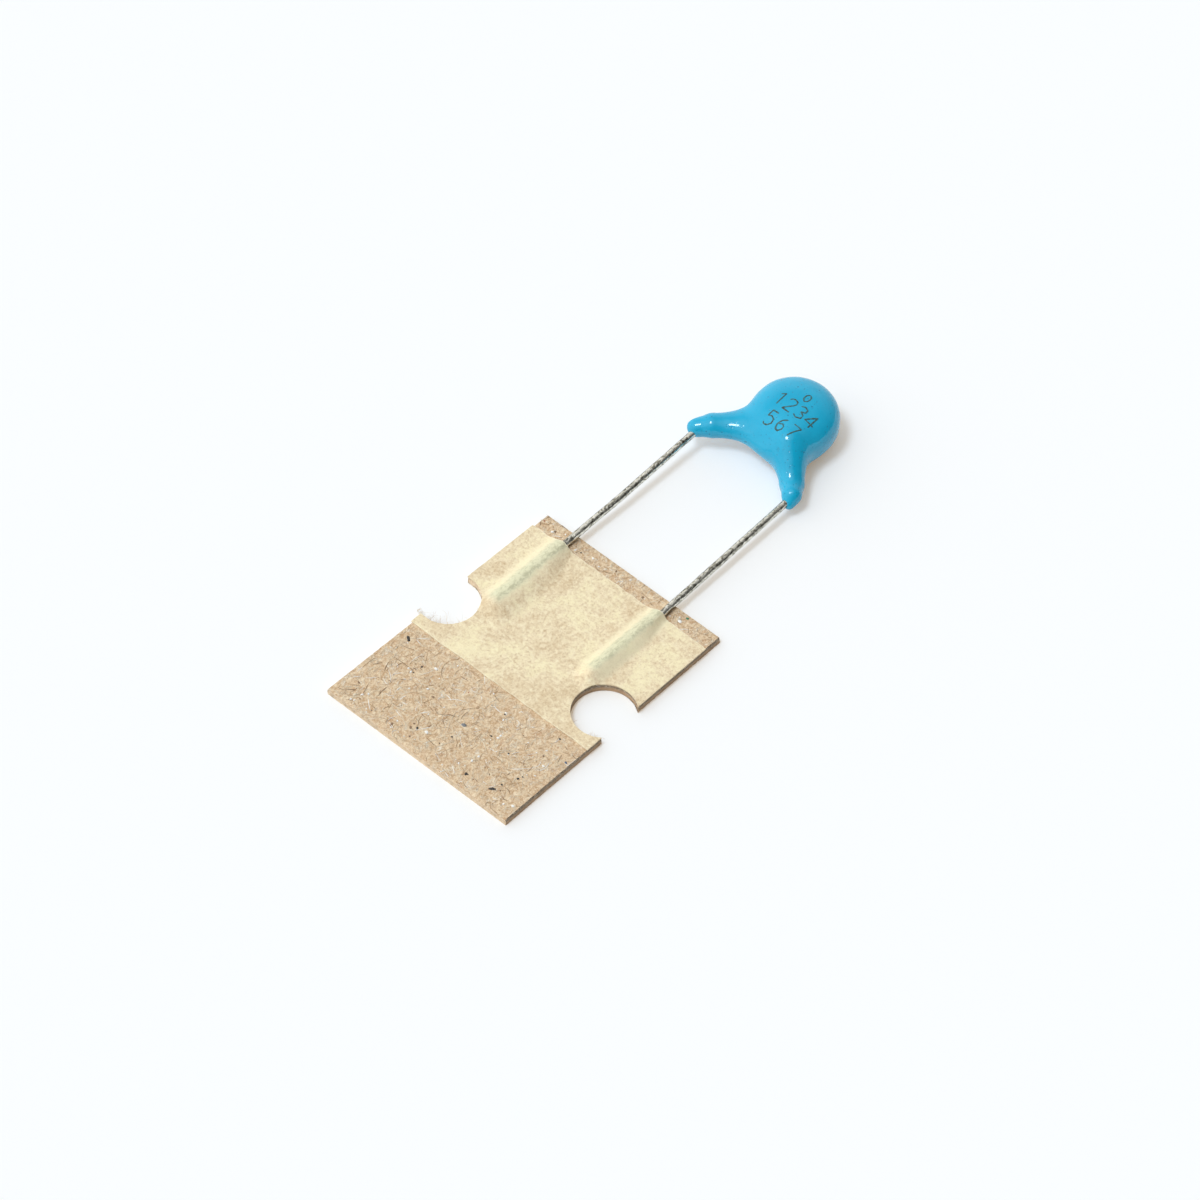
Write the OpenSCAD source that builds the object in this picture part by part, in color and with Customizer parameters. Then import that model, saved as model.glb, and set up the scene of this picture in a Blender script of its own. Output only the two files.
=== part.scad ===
// Radial-lead ceramic disc capacitor, still held by a cut-off length of its carrier strip.
//
// A barium titanate disc carries a silvered electrode on each face. A tinned wire is soldered to
// each electrode, and the whole element is dipped in an insulating coat that runs down both wires.
// The far ends of the wires are stuck to a card strip by crepe paper tape.
//
// Frame: +Z up, +Y along the wires from the strip to the disc, +X across them. The origin is in
// the underside of the strip, halfway across its width and midway between the wires. The strip
// and the lowest point of the coat both lie on z = 0.

/* [Element] */
// Diameter of the ceramic disc
ceramic_d = 4.4; // [3:0.1:7]
// Thickness of the ceramic disc
ceramic_t = 1.0; // [0.6:0.1:2]
// Bare ceramic margin around each electrode
electrode_margin = 0.2; // [0.1:0.05:0.5]
// Thickness of each silvered electrode
electrode_t = 0.05; // [0.03:0.01:0.1]
// Diameter of the solder bead on each electrode
solder_d = 2.4; // [1.2:0.1:2.6]
// Height of the solder bead as a share of the wire diameter
solder_fill = 0.85; // [0.6:0.05:0.95]

/* [Coat] */
// Coat outside the rim of the ceramic
coat_rim = 0.5; // [0.3:0.05:1]
// Coat over the wires where they lie on the faces
coat_cover = 0.7; // [0.4:0.05:1]
// Roundness of the rim: 2 is an ellipse, more is squarer
coat_power = 2.6; // [2.2:0.1:3.2]
// Length of coat from the wire mouths to the middle of the disc
coat_reach = 4.9; // [4.5:0.1:7]
// Sideways offset of the disc from the middle of the wires
disc_offset = 0.15; // [-0.3:0.05:0.3]
// Diameter of the coat at the tip of each leg
leg_tip_d = 1.3; // [1.3:0.05:1.6]
// Diameter of each leg where it runs into the disc
leg_root_d = 2.4; // [1.8:0.1:2.8]
// Distance that each leg tip stands out from its wire
leg_tip_out = 0.15; // [0:0.05:0.3]
// Rise of the web that joins the legs, above the line between their tips
web_rise = 1.3; // [0.8:0.1:1.6]
// Thickness of the rolled edge of the web
web_d = 1.2; // [0.9:0.05:1.25]
// Thickness of the web behind its rolled edge
web_t = 1.0; // [0.6:0.05:1.2]

/* [Wires] */
// Diameter of the tinned wire
wire_d = 0.45; // [0.35:0.01:0.6]
// Spacing of the wires where they are taped
wire_pitch = 7.86; // [6.5:0.01:9]
// Spacing of the wires at the mouths of the coat
mouth_pitch = 7.38; // [6.5:0.01:9]
// Bare length of wire between the tape and the coat
wire_free = 11.1; // [6:0.1:20]
// Length of wire under the tape
wire_taped = 6.0; // [3:0.1:6.5]
// Height that the left wire gains between the tape and its elbow in the coat
rise_left = 0.78; // [0.4:0.01:1]
// Height that the right wire gains between the tape and its elbow in the coat
rise_right = 0.39; // [0.3:0.01:1]

/* [Strip] */
// Width of the card strip
strip_w = 18.5; // [17.5:0.1:19.5]
// Thickness of the card
strip_t = 0.5; // [0.3:0.05:0.7]
// Distance of the left cut from the middle of the wires
cut_left = 6.64; // [6:0.01:7.5]
// Slant of the left cut in degrees
cut_left_slant = 1.45; // [-2:0.05:2]
// Distance of the right cut from the middle of the wires
cut_right = 7.53; // [6:0.01:8]
// Diameter of the feed holes
feed_hole_d = 4.0; // [3.8:0.1:4.2]
// Spacing of the feed holes
feed_pitch = 12.6; // [12:0.1:13]
// Distance of the feed holes from the edge nearer the disc
feed_inset = 8.75; // [8.5:0.05:9.5]
// Width of the tape
tape_w = 10.3; // [9:0.1:11]
// Thickness of the tape with its adhesive
tape_t = 0.12; // [0.08:0.01:0.2]
// Distance of the tape from the edge nearer the disc
tape_inset = 1.23; // [0.5:0.01:2]
// Width of the tent that the tape makes over each wire
tent_w = 2.0; // [1.4:0.1:2.6]

/* [Hidden] */
$fn = 64;

LEFT = -1;
RIGHT = 1;
FRONT = 1;
BACK = -1;

film = 0.02;            // adhesive or solder between a wire and the face that it lies on
mouth_wall = 0.12;      // coat around the wire at each mouth
elbow_in = 0.9;         // distance from a mouth to the elbow of its wire
rim_gap = 0.1;          // clearance of each wire from the rim of the ceramic where it steps up
root_out = 1.85;        // distance of each leg's root from the middle of the disc
root_step = 0.15;       // height of each leg's root on the side of its wire
flare = 2;              // power of the flare from leg tip to leg root
tent_lap = 0.35;        // tape beyond the buried end of each wire
rim_steps = 14;         // points on a quarter of the rim
leg_steps = 12;         // points along each leg
bend_r = [3, 0.6, 0.6]; // radii of the bends at the tape, at the elbow and at the disc
bend_swell = 1.03;      // thickness of each bend as a share of the wire
bend_lap = 0.03;        // length of each straight inside the bend that it meets
past = 1;               // overrun of cutting solids

wire_r = wire_d / 2;
tape_far_y = strip_w / 2 - tape_inset;
tape_near_y = tape_far_y - tape_w;
mouth_y = tape_far_y + wire_free;
elbow_y = mouth_y + elbow_in;
wire_z = strip_t + film + wire_r;

// The disc rests on its rim, a little steeper than the wires that it hangs from.
coat_d = ceramic_d + 2 * coat_rim;
wire_height = ceramic_t / 2 + electrode_t + film + wire_r;
coat_half_t = wire_height + wire_r + coat_cover;
disc_pitch_deg = atan((rise_left + rise_right) / 2 / (elbow_y - tape_far_y)) * 0.9;
disc_roll_deg = atan((rise_left - rise_right) / mouth_pitch) * 1.1;
disc_lean = acos(cos(disc_pitch_deg) * cos(disc_roll_deg));
dual_power = coat_power / (coat_power - 1);
disc_z = pow(pow(coat_d / 2 * sin(disc_lean), dual_power)
             + pow(coat_half_t * cos(disc_lean), dual_power), 1 / dual_power);
disc_c = [disc_offset, mouth_y + coat_reach, disc_z];

// Turns a point of the disc's own frame into the part's frame.
function pitched(p) = [p.x, p.y * cos(disc_pitch_deg) - p.z * sin(disc_pitch_deg),
                       p.y * sin(disc_pitch_deg) + p.z * cos(disc_pitch_deg)];
function rolled(p) = [p.x * cos(disc_roll_deg) + p.z * sin(disc_roll_deg), p.y,
                      p.z * cos(disc_roll_deg) - p.x * sin(disc_roll_deg)];
function from_disc(p) = disc_c + rolled(pitched(p));

function rise(side) = side == LEFT ? rise_left : rise_right;
function face(side) = side == LEFT ? FRONT : BACK;

// Points along each wire: buried end, tape edge, elbow, step onto the face, end on the electrode.
function taped_end(side) = [side * wire_pitch / 2, tape_far_y - wire_taped, wire_z];
function tape_edge(side) = [side * wire_pitch / 2, tape_far_y, wire_z];
function elbow(side) = [side * mouth_pitch / 2, elbow_y, wire_z + rise(side)];
function bearing(side) = let(e = elbow(side) - disc_c) [e.x, e.y] / norm([e.x, e.y]);
function on_face(side, out) = let(b = bearing(side))
    from_disc([b.x * out, b.y * out, face(side) * wire_height]);
function wire_route(side) = [
    taped_end(side),
    tape_edge(side),
    elbow(side),
    on_face(side, ceramic_d / 2 + wire_r + rim_gap),
    on_face(side, -wire_d)
];

// Point on the free stretch of a wire, at the mouth of the coat.
function mouth(side) = let(a = tape_edge(side), b = elbow(side))
    a + (b - a) * (mouth_y - a.y) / (b.y - a.y);
function leg_tip(side) = elbow(side) + [side * leg_tip_out, 0, 0];
function leg_root(side) = let(b = bearing(side))
    from_disc([b.x * root_out, b.y * root_out, face(side) * root_step]);

// Stands its children, drawn up +Z from the origin, along the line from a to b.
module along(a, b) {
    v = b - a;
    translate(a) rotate([0, acos(v.z / norm(v)), atan2(v.y, v.x)]) children();
}

// Places its children in the disc's own frame.
module in_disc() {
    translate(disc_c) rotate([disc_pitch_deg, disc_roll_deg, 0]) children();
}

function unit(v) = v / norm(v);

// Angle that a route turns through at its inner point i.
function turn_at(route, i) =
    acos(unit(route[i] - route[i - 1]) * unit(route[i + 1] - route[i]));

// Length that the bend at inner point i takes from each straight next to it.
function bend_take(route, i) = bend_r[i - 1] * tan(turn_at(route, i) / 2);

// Bend at inner point i of a route: part of a ring, a hair thicker than the wire.
module bend(route, i) {
    u = unit(route[i] - route[i - 1]);
    v = unit(route[i + 1] - route[i]);
    axis = unit(cross(u, v));
    inward = cross(axis, u);
    centre = route[i] - u * bend_take(route, i) + inward * bend_r[i - 1];
    multmatrix([
        [-inward.x, u.x, axis.x, centre.x],
        [-inward.y, u.y, axis.y, centre.y],
        [-inward.z, u.z, axis.z, centre.z]
    ])
        rotate_extrude(angle = turn_at(route, i))
            translate([bend_r[i - 1], 0]) circle(d = wire_d * bend_swell);
}

// Round wire through a list of points. Each straight runs a little way into the bends that it meets.
module wire(route) {
    last = len(route) - 1;
    take = [for (i = [0 : last]) i == 0 || i == last ? 0 : bend_take(route, i) - bend_lap];
    for (i = [1 : last]) {
        u = unit(route[i] - route[i - 1]);
        a = route[i - 1] + u * take[i - 1];
        b = route[i] - u * take[i];
        along(a, b) cylinder(h = norm(b - a), d = wire_d);
    }
    for (i = [1 : last - 1])
        bend(route, i);
}

// Bead of solder over the origin, sitting on z = 0.
module solder_bead() {
    h = solder_fill * wire_d;
    ball_r = (pow(solder_d / 2, 2) + h * h) / (2 * h);
    intersection() {
        translate([0, 0, h - ball_r]) sphere(r = ball_r);
        cylinder(h = h + past, d = solder_d + past);
    }
}

module electrode(side) {
    in_disc()
        translate([0, 0, side * (ceramic_t + electrode_t) / 2])
            cylinder(h = electrode_t, d = ceramic_d - 2 * electrode_margin, center = true);
}

module solder(side) {
    turn = side == FRONT ? 0 : 180;
    difference() {
        in_disc() rotate([turn, 0, 0])
            translate([0, 0, ceramic_t / 2 + electrode_t]) solder_bead();
        wire(wire_route(side == FRONT ? LEFT : RIGHT));
    }
}

// Outer shape of the coated disc: a round slab whose section is a superellipse, level at its poles.
module coat_slab() {
    quarter = [for (i = [0 : rim_steps]) let(a = 90 * i / (rim_steps + 1))
        [coat_d / 2 * pow(cos(a), 2 / coat_power), coat_half_t * pow(sin(a), 2 / coat_power)]];
    pole = [0, quarter[rim_steps].y];
    over = [for (i = [rim_steps : -1 : 0]) quarter[i]];
    under = [for (i = [1 : rim_steps]) [quarter[i].x, -quarter[i].y]];
    in_disc() rotate_extrude()
        polygon(concat([pole], over, under, [-pole]));
}

// Leg of coat: a round tip, level at its pole, flaring towards the disc.
module coat_leg(side) {
    tip_r = leg_tip_d / 2;
    root_r = leg_root_d / 2;
    len = norm(leg_root(side) - leg_tip(side));
    bulb = [for (i = [1 : leg_steps - 1]) let(a = 90 * i / leg_steps)
        [tip_r * sin(a), -tip_r * cos(a)]];
    shank = [for (i = [0 : leg_steps]) let(t = i / leg_steps)
        [tip_r + (root_r - tip_r) * pow(t, flare), len * t]];
    along(leg_tip(side), leg_root(side))
        rotate_extrude() polygon(concat([[0, bulb[0].y]], bulb, shank, [[0, len]]));
}

// Short cone of coat that has run down the wire.
module coat_mouth(side) {
    a = leg_tip(side);
    b = mouth(side);
    along(a, b) cylinder(h = norm(b - a), r1 = leg_tip_d / 2 * 0.95, r2 = wire_r + mouth_wall);
}

// Web between the legs: a thin plate with a rolled edge, which arches from tip to tip.
module coat_web() {
    a = leg_tip(LEFT);
    b = leg_tip(RIGHT);
    mid = (a + b) / 2;
    chord = norm(b - a) / 2;
    arch_r = (chord * chord + web_rise * web_rise) / (2 * web_rise);
    half_angle = asin(chord / arch_r);
    climb = atan((disc_c.z - mid.z) / (disc_c.y - mid.y));
    fall = asin((a.z - b.z) / norm(b - a));
    roots = [for (side = [RIGHT, LEFT]) leg_root(side) - mid];
    translate(mid) rotate([climb, fall, 0]) {
        translate([0, web_rise - arch_r, 0])
            rotate([0, 0, 90 - half_angle]) rotate_extrude(angle = 2 * half_angle)
                translate([arch_r, 0]) circle(d = web_d);
        linear_extrude(height = web_t, center = true) difference() {
            polygon([[-chord, 0], [chord, 0], [roots[0].x, roots[0].y], [roots[1].x, roots[1].y]]);
            translate([0, web_rise - arch_r]) circle(r = arch_r);
        }
    }
}

// Plan of the cut length of strip, without its feed holes.
module strip_plan() {
    lean = tan(cut_left_slant) * strip_w / 2;
    polygon([
        [-cut_left + lean, strip_w / 2],
        [-cut_left - lean, -strip_w / 2],
        [cut_right, -strip_w / 2],
        [cut_right, strip_w / 2]
    ]);
}

// Cutters for the feed holes, which the two cuts pass through.
module feed_holes() {
    for (side = [LEFT, RIGHT])
        translate([side * feed_pitch / 2, strip_w / 2 - feed_inset, -past])
            cylinder(h = strip_t + wire_d + tape_t + 3 * past, d = feed_hole_d);
}

// Solid under the tape where it tents over a wire.
module tape_tent(side) {
    crest_z = wire_z + wire_r + tape_t;
    crest_w = wire_d * 0.7;
    translate([side * wire_pitch / 2, tape_far_y, 0]) rotate([90, 0, 0])
        linear_extrude(height = wire_taped + tent_lap)
            polygon([
                [-tent_w / 2, strip_t],
                [tent_w / 2, strip_t],
                [tent_w / 2, strip_t + tape_t],
                [crest_w / 2, crest_z],
                [-crest_w / 2, crest_z],
                [-tent_w / 2, strip_t + tape_t]
            ]);
}

module ceramic_disc() {
    color("#b08d62") in_disc() cylinder(h = ceramic_t, d = ceramic_d, center = true);
}

module electrode_front() {
    color("#c9c9c4") electrode(FRONT);
}

module electrode_back() {
    color("#c9c9c4") electrode(BACK);
}

module solder_front() {
    color("#8f9296") solder(FRONT);
}

module solder_back() {
    color("#8f9296") solder(BACK);
}

module lead_left() {
    color("#b4b1a6") wire(wire_route(LEFT));
}

module lead_right() {
    color("#b4b1a6") wire(wire_route(RIGHT));
}

// Dipped coat, hollow where the element and the wires are.
module coating() {
    color("#33abdc") difference() {
        union() {
            coat_slab();
            coat_web();
            for (side = [LEFT, RIGHT]) {
                coat_leg(side);
                coat_mouth(side);
            }
        }
        ceramic_disc();
        electrode(FRONT);
        electrode(BACK);
        for (turn = [0, 180])
            in_disc() rotate([turn, 0, 0])
                translate([0, 0, ceramic_t / 2 + electrode_t]) solder_bead();
        wire(wire_route(LEFT));
        wire(wire_route(RIGHT));
    }
}

module carrier_board() {
    color("#c8ab82") difference() {
        linear_extrude(height = strip_t) strip_plan();
        feed_holes();
    }
}

// Crepe tape over the taped ends of both wires, punched with the strip.
module adhesive_tape() {
    color("#e8dab4") difference() {
        union() {
            translate([0, 0, strip_t]) linear_extrude(height = tape_t) intersection() {
                strip_plan();
                translate([-strip_w, tape_near_y]) square([2 * strip_w, tape_w]);
            }
            tape_tent(LEFT);
            tape_tent(RIGHT);
        }
        wire(wire_route(LEFT));
        wire(wire_route(RIGHT));
        feed_holes();
    }
}

ceramic_disc();
electrode_front();
electrode_back();
solder_front();
solder_back();
lead_left();
lead_right();
coating();
carrier_board();
adhesive_tape();
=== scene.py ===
"""Looks of a dipped ceramic disc capacitor, held by a cut length of its taped card strip.

Shapes are worked out in millimetres in the part's own frame and handed to Blender in metres.
+Z is up, +Y runs along the wires from the strip to the disc, and +X runs across them.
"""

from __future__ import annotations

import logging
import math
from collections.abc import Callable
from dataclasses import dataclass, field
from enum import Enum

import bpy
import numpy as np
from mathutils import Matrix


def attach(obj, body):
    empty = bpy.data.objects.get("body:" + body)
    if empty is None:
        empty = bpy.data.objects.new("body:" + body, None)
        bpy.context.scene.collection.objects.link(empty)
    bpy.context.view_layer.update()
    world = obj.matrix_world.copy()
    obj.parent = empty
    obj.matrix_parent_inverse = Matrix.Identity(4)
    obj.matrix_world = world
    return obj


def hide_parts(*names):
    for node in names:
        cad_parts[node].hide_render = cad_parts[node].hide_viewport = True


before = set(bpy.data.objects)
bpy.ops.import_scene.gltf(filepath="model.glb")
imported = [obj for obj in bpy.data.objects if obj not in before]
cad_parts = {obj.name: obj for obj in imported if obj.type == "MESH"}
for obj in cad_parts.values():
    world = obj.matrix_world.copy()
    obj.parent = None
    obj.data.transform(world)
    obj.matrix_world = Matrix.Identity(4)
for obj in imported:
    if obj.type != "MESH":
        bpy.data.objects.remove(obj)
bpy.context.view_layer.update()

MM = 0.001
WELD_MM = 2e-5
STILL_BODY = "root"
CARD_T = 0.5
WIRE_R = 0.225
WIRE_Z = 0.745
log = logging.getLogger("capacitor")

Pair = tuple[float, float]
Triple = tuple[float, float, float]
Colour = tuple[float, float, float, float]


# ---------------------------------------------------------------------------------------------
# Surfaces
# ---------------------------------------------------------------------------------------------


def smoothstep(low: float, high: float, value: np.ndarray) -> np.ndarray:
    """Returns 0 below low, 1 above high and 3t^2 - 2t^3 between them."""
    t = np.clip((value - low) / (high - low), 0.0, 1.0)
    return t * t * (3 - 2 * t)


def unit(vectors: np.ndarray) -> np.ndarray:
    """Returns the vectors scaled to length 1."""
    return vectors / np.maximum(np.linalg.norm(vectors, axis=-1, keepdims=True), 1e-12)


def run_along(corners: np.ndarray) -> np.ndarray:
    """Returns how far along its line each corner lies, from 0 at the first."""
    steps = np.linalg.norm(np.diff(corners, axis=0), axis=1)
    return np.concatenate([[0.0], np.cumsum(steps)])


def points_at(marks: np.ndarray, corners: np.ndarray) -> np.ndarray:
    """Returns the points of a line of corners that lie at the marks along it."""
    length = run_along(corners)
    return np.stack([np.interp(marks, length, column) for column in corners.T], axis=-1)


def halved(
    inside: Callable[[np.ndarray], np.ndarray], low: np.ndarray, high: np.ndarray, rounds: int
) -> np.ndarray:
    """Returns where a test turns from true at low to false at high, found by halving.

    Args:
        inside: The test, for a whole array of values at once.
        low: Values at which the test is true.
        high: Values at which it is false.
        rounds: How often the gap is halved.

    Returns:
        The turning values.
    """
    for _ in range(rounds):
        middle = (low + high) / 2
        within = inside(middle)
        low, high = np.where(within, middle, low), np.where(within, high, middle)
    return (low + high) / 2


class Relief:
    """Smooth seeded unevenness in space, roughly between -1 and 1.

    The value at a point is a sum of sine waves. Each wave has a random direction and phase, and
    a wavelength spread by a third round the one asked for.
    """

    def __init__(self, seed: int, wavelength: float, waves: int = 28) -> None:
        """Draws the waves.

        Args:
            seed: Seed of the random draw.
            wavelength: Middle wavelength in millimetres.
            waves: Number of waves in the sum.
        """
        draw = np.random.default_rng(seed)
        directions = unit(draw.normal(size=(waves, 3)))
        lengths = wavelength * draw.uniform(0.67, 1.5, size=(waves, 1))
        self.vectors = directions * 2 * math.pi / lengths
        self.phases = draw.uniform(0, 2 * math.pi, size=waves)
        self.gain = math.sqrt(1.0 / waves)

    def at(self, points: np.ndarray) -> np.ndarray:
        """Returns the unevenness at points of shape (..., 3)."""
        return self.gain * np.sin(points @ self.vectors.T + self.phases).sum(axis=-1)


def lattice_triangles(rows: int, columns: int, wrap: bool) -> np.ndarray:
    """Joins a lattice of points into triangles, two for each cell.

    Args:
        rows: Number of rows.
        columns: Number of columns.
        wrap: Whether the last column joins the first.

    Returns:
        Indices of shape (triangles, 3).
    """
    r = np.arange(rows - 1)[:, None]
    c = np.arange(columns if wrap else columns - 1)[None, :]
    a = r * columns + c
    b = r * columns + (c + 1) % columns
    d, e = a + columns, b + columns
    return np.stack([np.stack([a, b, e], -1), np.stack([a, e, d], -1)], -2).reshape(-1, 3)


def weld(points: np.ndarray, triangles: np.ndarray) -> tuple[np.ndarray, np.ndarray, np.ndarray]:
    """Merges points that coincide, drops triangles that vanish and turns a closed shell outwards.

    Args:
        points: Points of shape (n, 3) in millimetres.
        triangles: Indices of shape (m, 3).

    Returns:
        The points kept, the triangles kept, and the index of each kept point in the old list.
    """
    keys = np.round(points / WELD_MM).astype(np.int64)
    _, first, merged = np.unique(keys, axis=0, return_index=True, return_inverse=True)
    joined = merged.reshape(-1)[triangles]
    solid = (
        (joined[:, 0] != joined[:, 1])
        & (joined[:, 1] != joined[:, 2])
        & (joined[:, 2] != joined[:, 0])
    )
    joined = joined[solid]
    kept = points[first]
    corners = kept[joined]
    volume = np.einsum("ij,ij->i", corners[:, 0], np.cross(corners[:, 1], corners[:, 2])).sum()
    if volume < 0:
        joined = joined[:, ::-1]
    return kept, joined, first


def make_mesh(
    name: str,
    points: np.ndarray,
    triangles: np.ndarray,
    fields: dict[str, np.ndarray] | None = None,
    sharp_deg: float | None = None,
) -> bpy.types.Object:
    """Makes a smooth-shaded mesh object at the origin.

    Args:
        name: Name of the piece.
        points: Points of shape (n, 3) in millimetres.
        triangles: Indices of shape (m, 3).
        fields: Point attributes by name: one number a point, or three for a colour.
        sharp_deg: Edges that turn by more than this angle stay sharp.

    Returns:
        The new object.
    """
    mesh = bpy.data.meshes.new(name)
    mesh.from_pydata((points * MM).tolist(), [], triangles.tolist())
    mesh.shade_smooth()
    if sharp_deg is not None:
        mesh.set_sharp_from_angle(angle=math.radians(sharp_deg))
    for key, values in (fields or {}).items():
        if values.ndim == 2:
            layer = mesh.attributes.new(key, "FLOAT_COLOR", "POINT")
            rgba = np.concatenate([values, np.ones((len(values), 1))], axis=1)
            layer.data.foreach_set("color", rgba.astype(np.float32).ravel())
        else:
            layer = mesh.attributes.new(key, "FLOAT", "POINT")
            layer.data.foreach_set("value", values.astype(np.float32))
    made = bpy.data.objects.new(name, mesh)
    bpy.context.scene.collection.objects.link(made)
    return made


def lattice_object(
    name: str,
    lattice: np.ndarray,
    wrap: bool,
    fields: dict[str, np.ndarray] | None = None,
    sharp_deg: float | None = None,
) -> bpy.types.Object:
    """Makes a mesh object from a lattice of points, with its seams and poles closed.

    Args:
        name: Name of the piece.
        lattice: Points of shape (rows, columns, 3) in millimetres.
        wrap: Whether the last column joins the first.
        fields: Point attributes of shape (rows, columns) or (rows, columns, 3).
        sharp_deg: Edges that turn by more than this angle stay sharp.

    Returns:
        The new object.
    """
    rows, columns = lattice.shape[:2]
    points, triangles, kept = weld(
        lattice.reshape(-1, 3), lattice_triangles(rows, columns, wrap)
    )
    flat = {
        key: values.reshape(rows * columns, *values.shape[2:])[kept]
        for key, values in (fields or {}).items()
    }
    return make_mesh(name, points, triangles, flat, sharp_deg)


def swept_tubes(
    paths: np.ndarray, radii: np.ndarray, sides: int
) -> tuple[np.ndarray, np.ndarray]:
    """Carries a round profile along many paths at once.

    A point of a tube is its path's point plus the radius times (cos t * side + sin t * rise),
    where side is level and both are square to the path. Each tube's ends close on the path.

    Args:
        paths: Points of shape (tubes, stations, 3).
        radii: Radius at each station, of shape (tubes, stations) or (tubes, stations, sides).
        sides: Number of points round each tube.

    Returns:
        Points of shape (tubes, stations + 2, sides, 3) and triangles of one tube's lattice.
    """
    tangent = unit(np.gradient(paths, axis=1))
    side = unit(np.cross(tangent, [0.0, 0.0, 1.0]))
    rise = np.cross(side, tangent)
    turn = np.arange(sides) * 2 * math.pi / sides
    ring = (
        np.cos(turn)[:, None] * side[:, :, None, :] + np.sin(turn)[:, None] * rise[:, :, None, :]
    )
    if radii.ndim == 2:
        radii = radii[:, :, None]
    body = paths[:, :, None, :] + radii[..., None] * ring
    start = np.broadcast_to(paths[:, :1, None, :], body[:, :1].shape)
    end = np.broadcast_to(paths[:, -1:, None, :], body[:, -1:].shape)
    rings = np.concatenate([start, body, end], axis=1)
    return rings, lattice_triangles(rings.shape[1], sides, True)


def tubes_object(
    name: str,
    paths: np.ndarray,
    radii: np.ndarray,
    sides: int,
    fields: dict[str, np.ndarray] | None = None,
) -> bpy.types.Object:
    """Makes one mesh object that holds many tubes.

    Args:
        name: Name of the piece.
        paths: Points of shape (tubes, stations, 3) in millimetres.
        radii: Radius at each station, of shape (tubes, stations).
        sides: Number of points round each tube.
        fields: Values for each tube: one number, or three for a colour.

    Returns:
        The new object.
    """
    points, cell = swept_tubes(paths, radii, sides)
    tubes, size = len(points), points.shape[1] * sides
    triangles = (cell[None] + np.arange(tubes)[:, None, None] * size).reshape(-1, 3)
    welded, triangles, kept = weld(points.reshape(-1, 3), triangles)
    flat = {key: np.repeat(values, size, axis=0)[kept] for key, values in (fields or {}).items()}
    return make_mesh(name, welded, triangles, flat)


# ---------------------------------------------------------------------------------------------
# Finishes
# ---------------------------------------------------------------------------------------------


def srgb(red: float, green: float, blue: float) -> Colour:
    """Returns a linear colour for display values from 0 to 255."""
    levels = np.array([red, green, blue]) / 255.0
    linear = np.where(levels <= 0.04045, levels / 12.92, ((levels + 0.055) / 1.055) ** 2.4)
    return (float(linear[0]), float(linear[1]), float(linear[2]), 1.0)


class NodeBoard:
    """An emptied node tree to which nodes are added and linked."""

    def __init__(self, owner: bpy.types.Material | bpy.types.World) -> None:
        """Empties the owner's node tree.

        Args:
            owner: The material or world that the nodes belong to.
        """
        owner.use_nodes = True
        self.tree = owner.node_tree
        self.tree.nodes.clear()

    def node(self, kind: str, **settings: object) -> bpy.types.Node:
        """Adds a node and sets its properties."""
        made = self.tree.nodes.new(kind)
        for key, value in settings.items():
            setattr(made, key, value)
        return made

    def feed(self, socket: bpy.types.NodeSocket, value: object) -> None:
        """Links a socket to another, or sets its number or colour."""
        if isinstance(value, bpy.types.NodeSocket):
            self.tree.links.new(value, socket)
        else:
            socket.default_value = value

    def added(self, first: bpy.types.Node, second: bpy.types.Node) -> bpy.types.NodeSocket:
        """Returns the light of two shaders added together."""
        both = self.node("ShaderNodeAddShader")
        self.feed(both.inputs[0], first.outputs[0])
        self.feed(both.inputs[1], second.outputs[0])
        return both.outputs[0]


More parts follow.
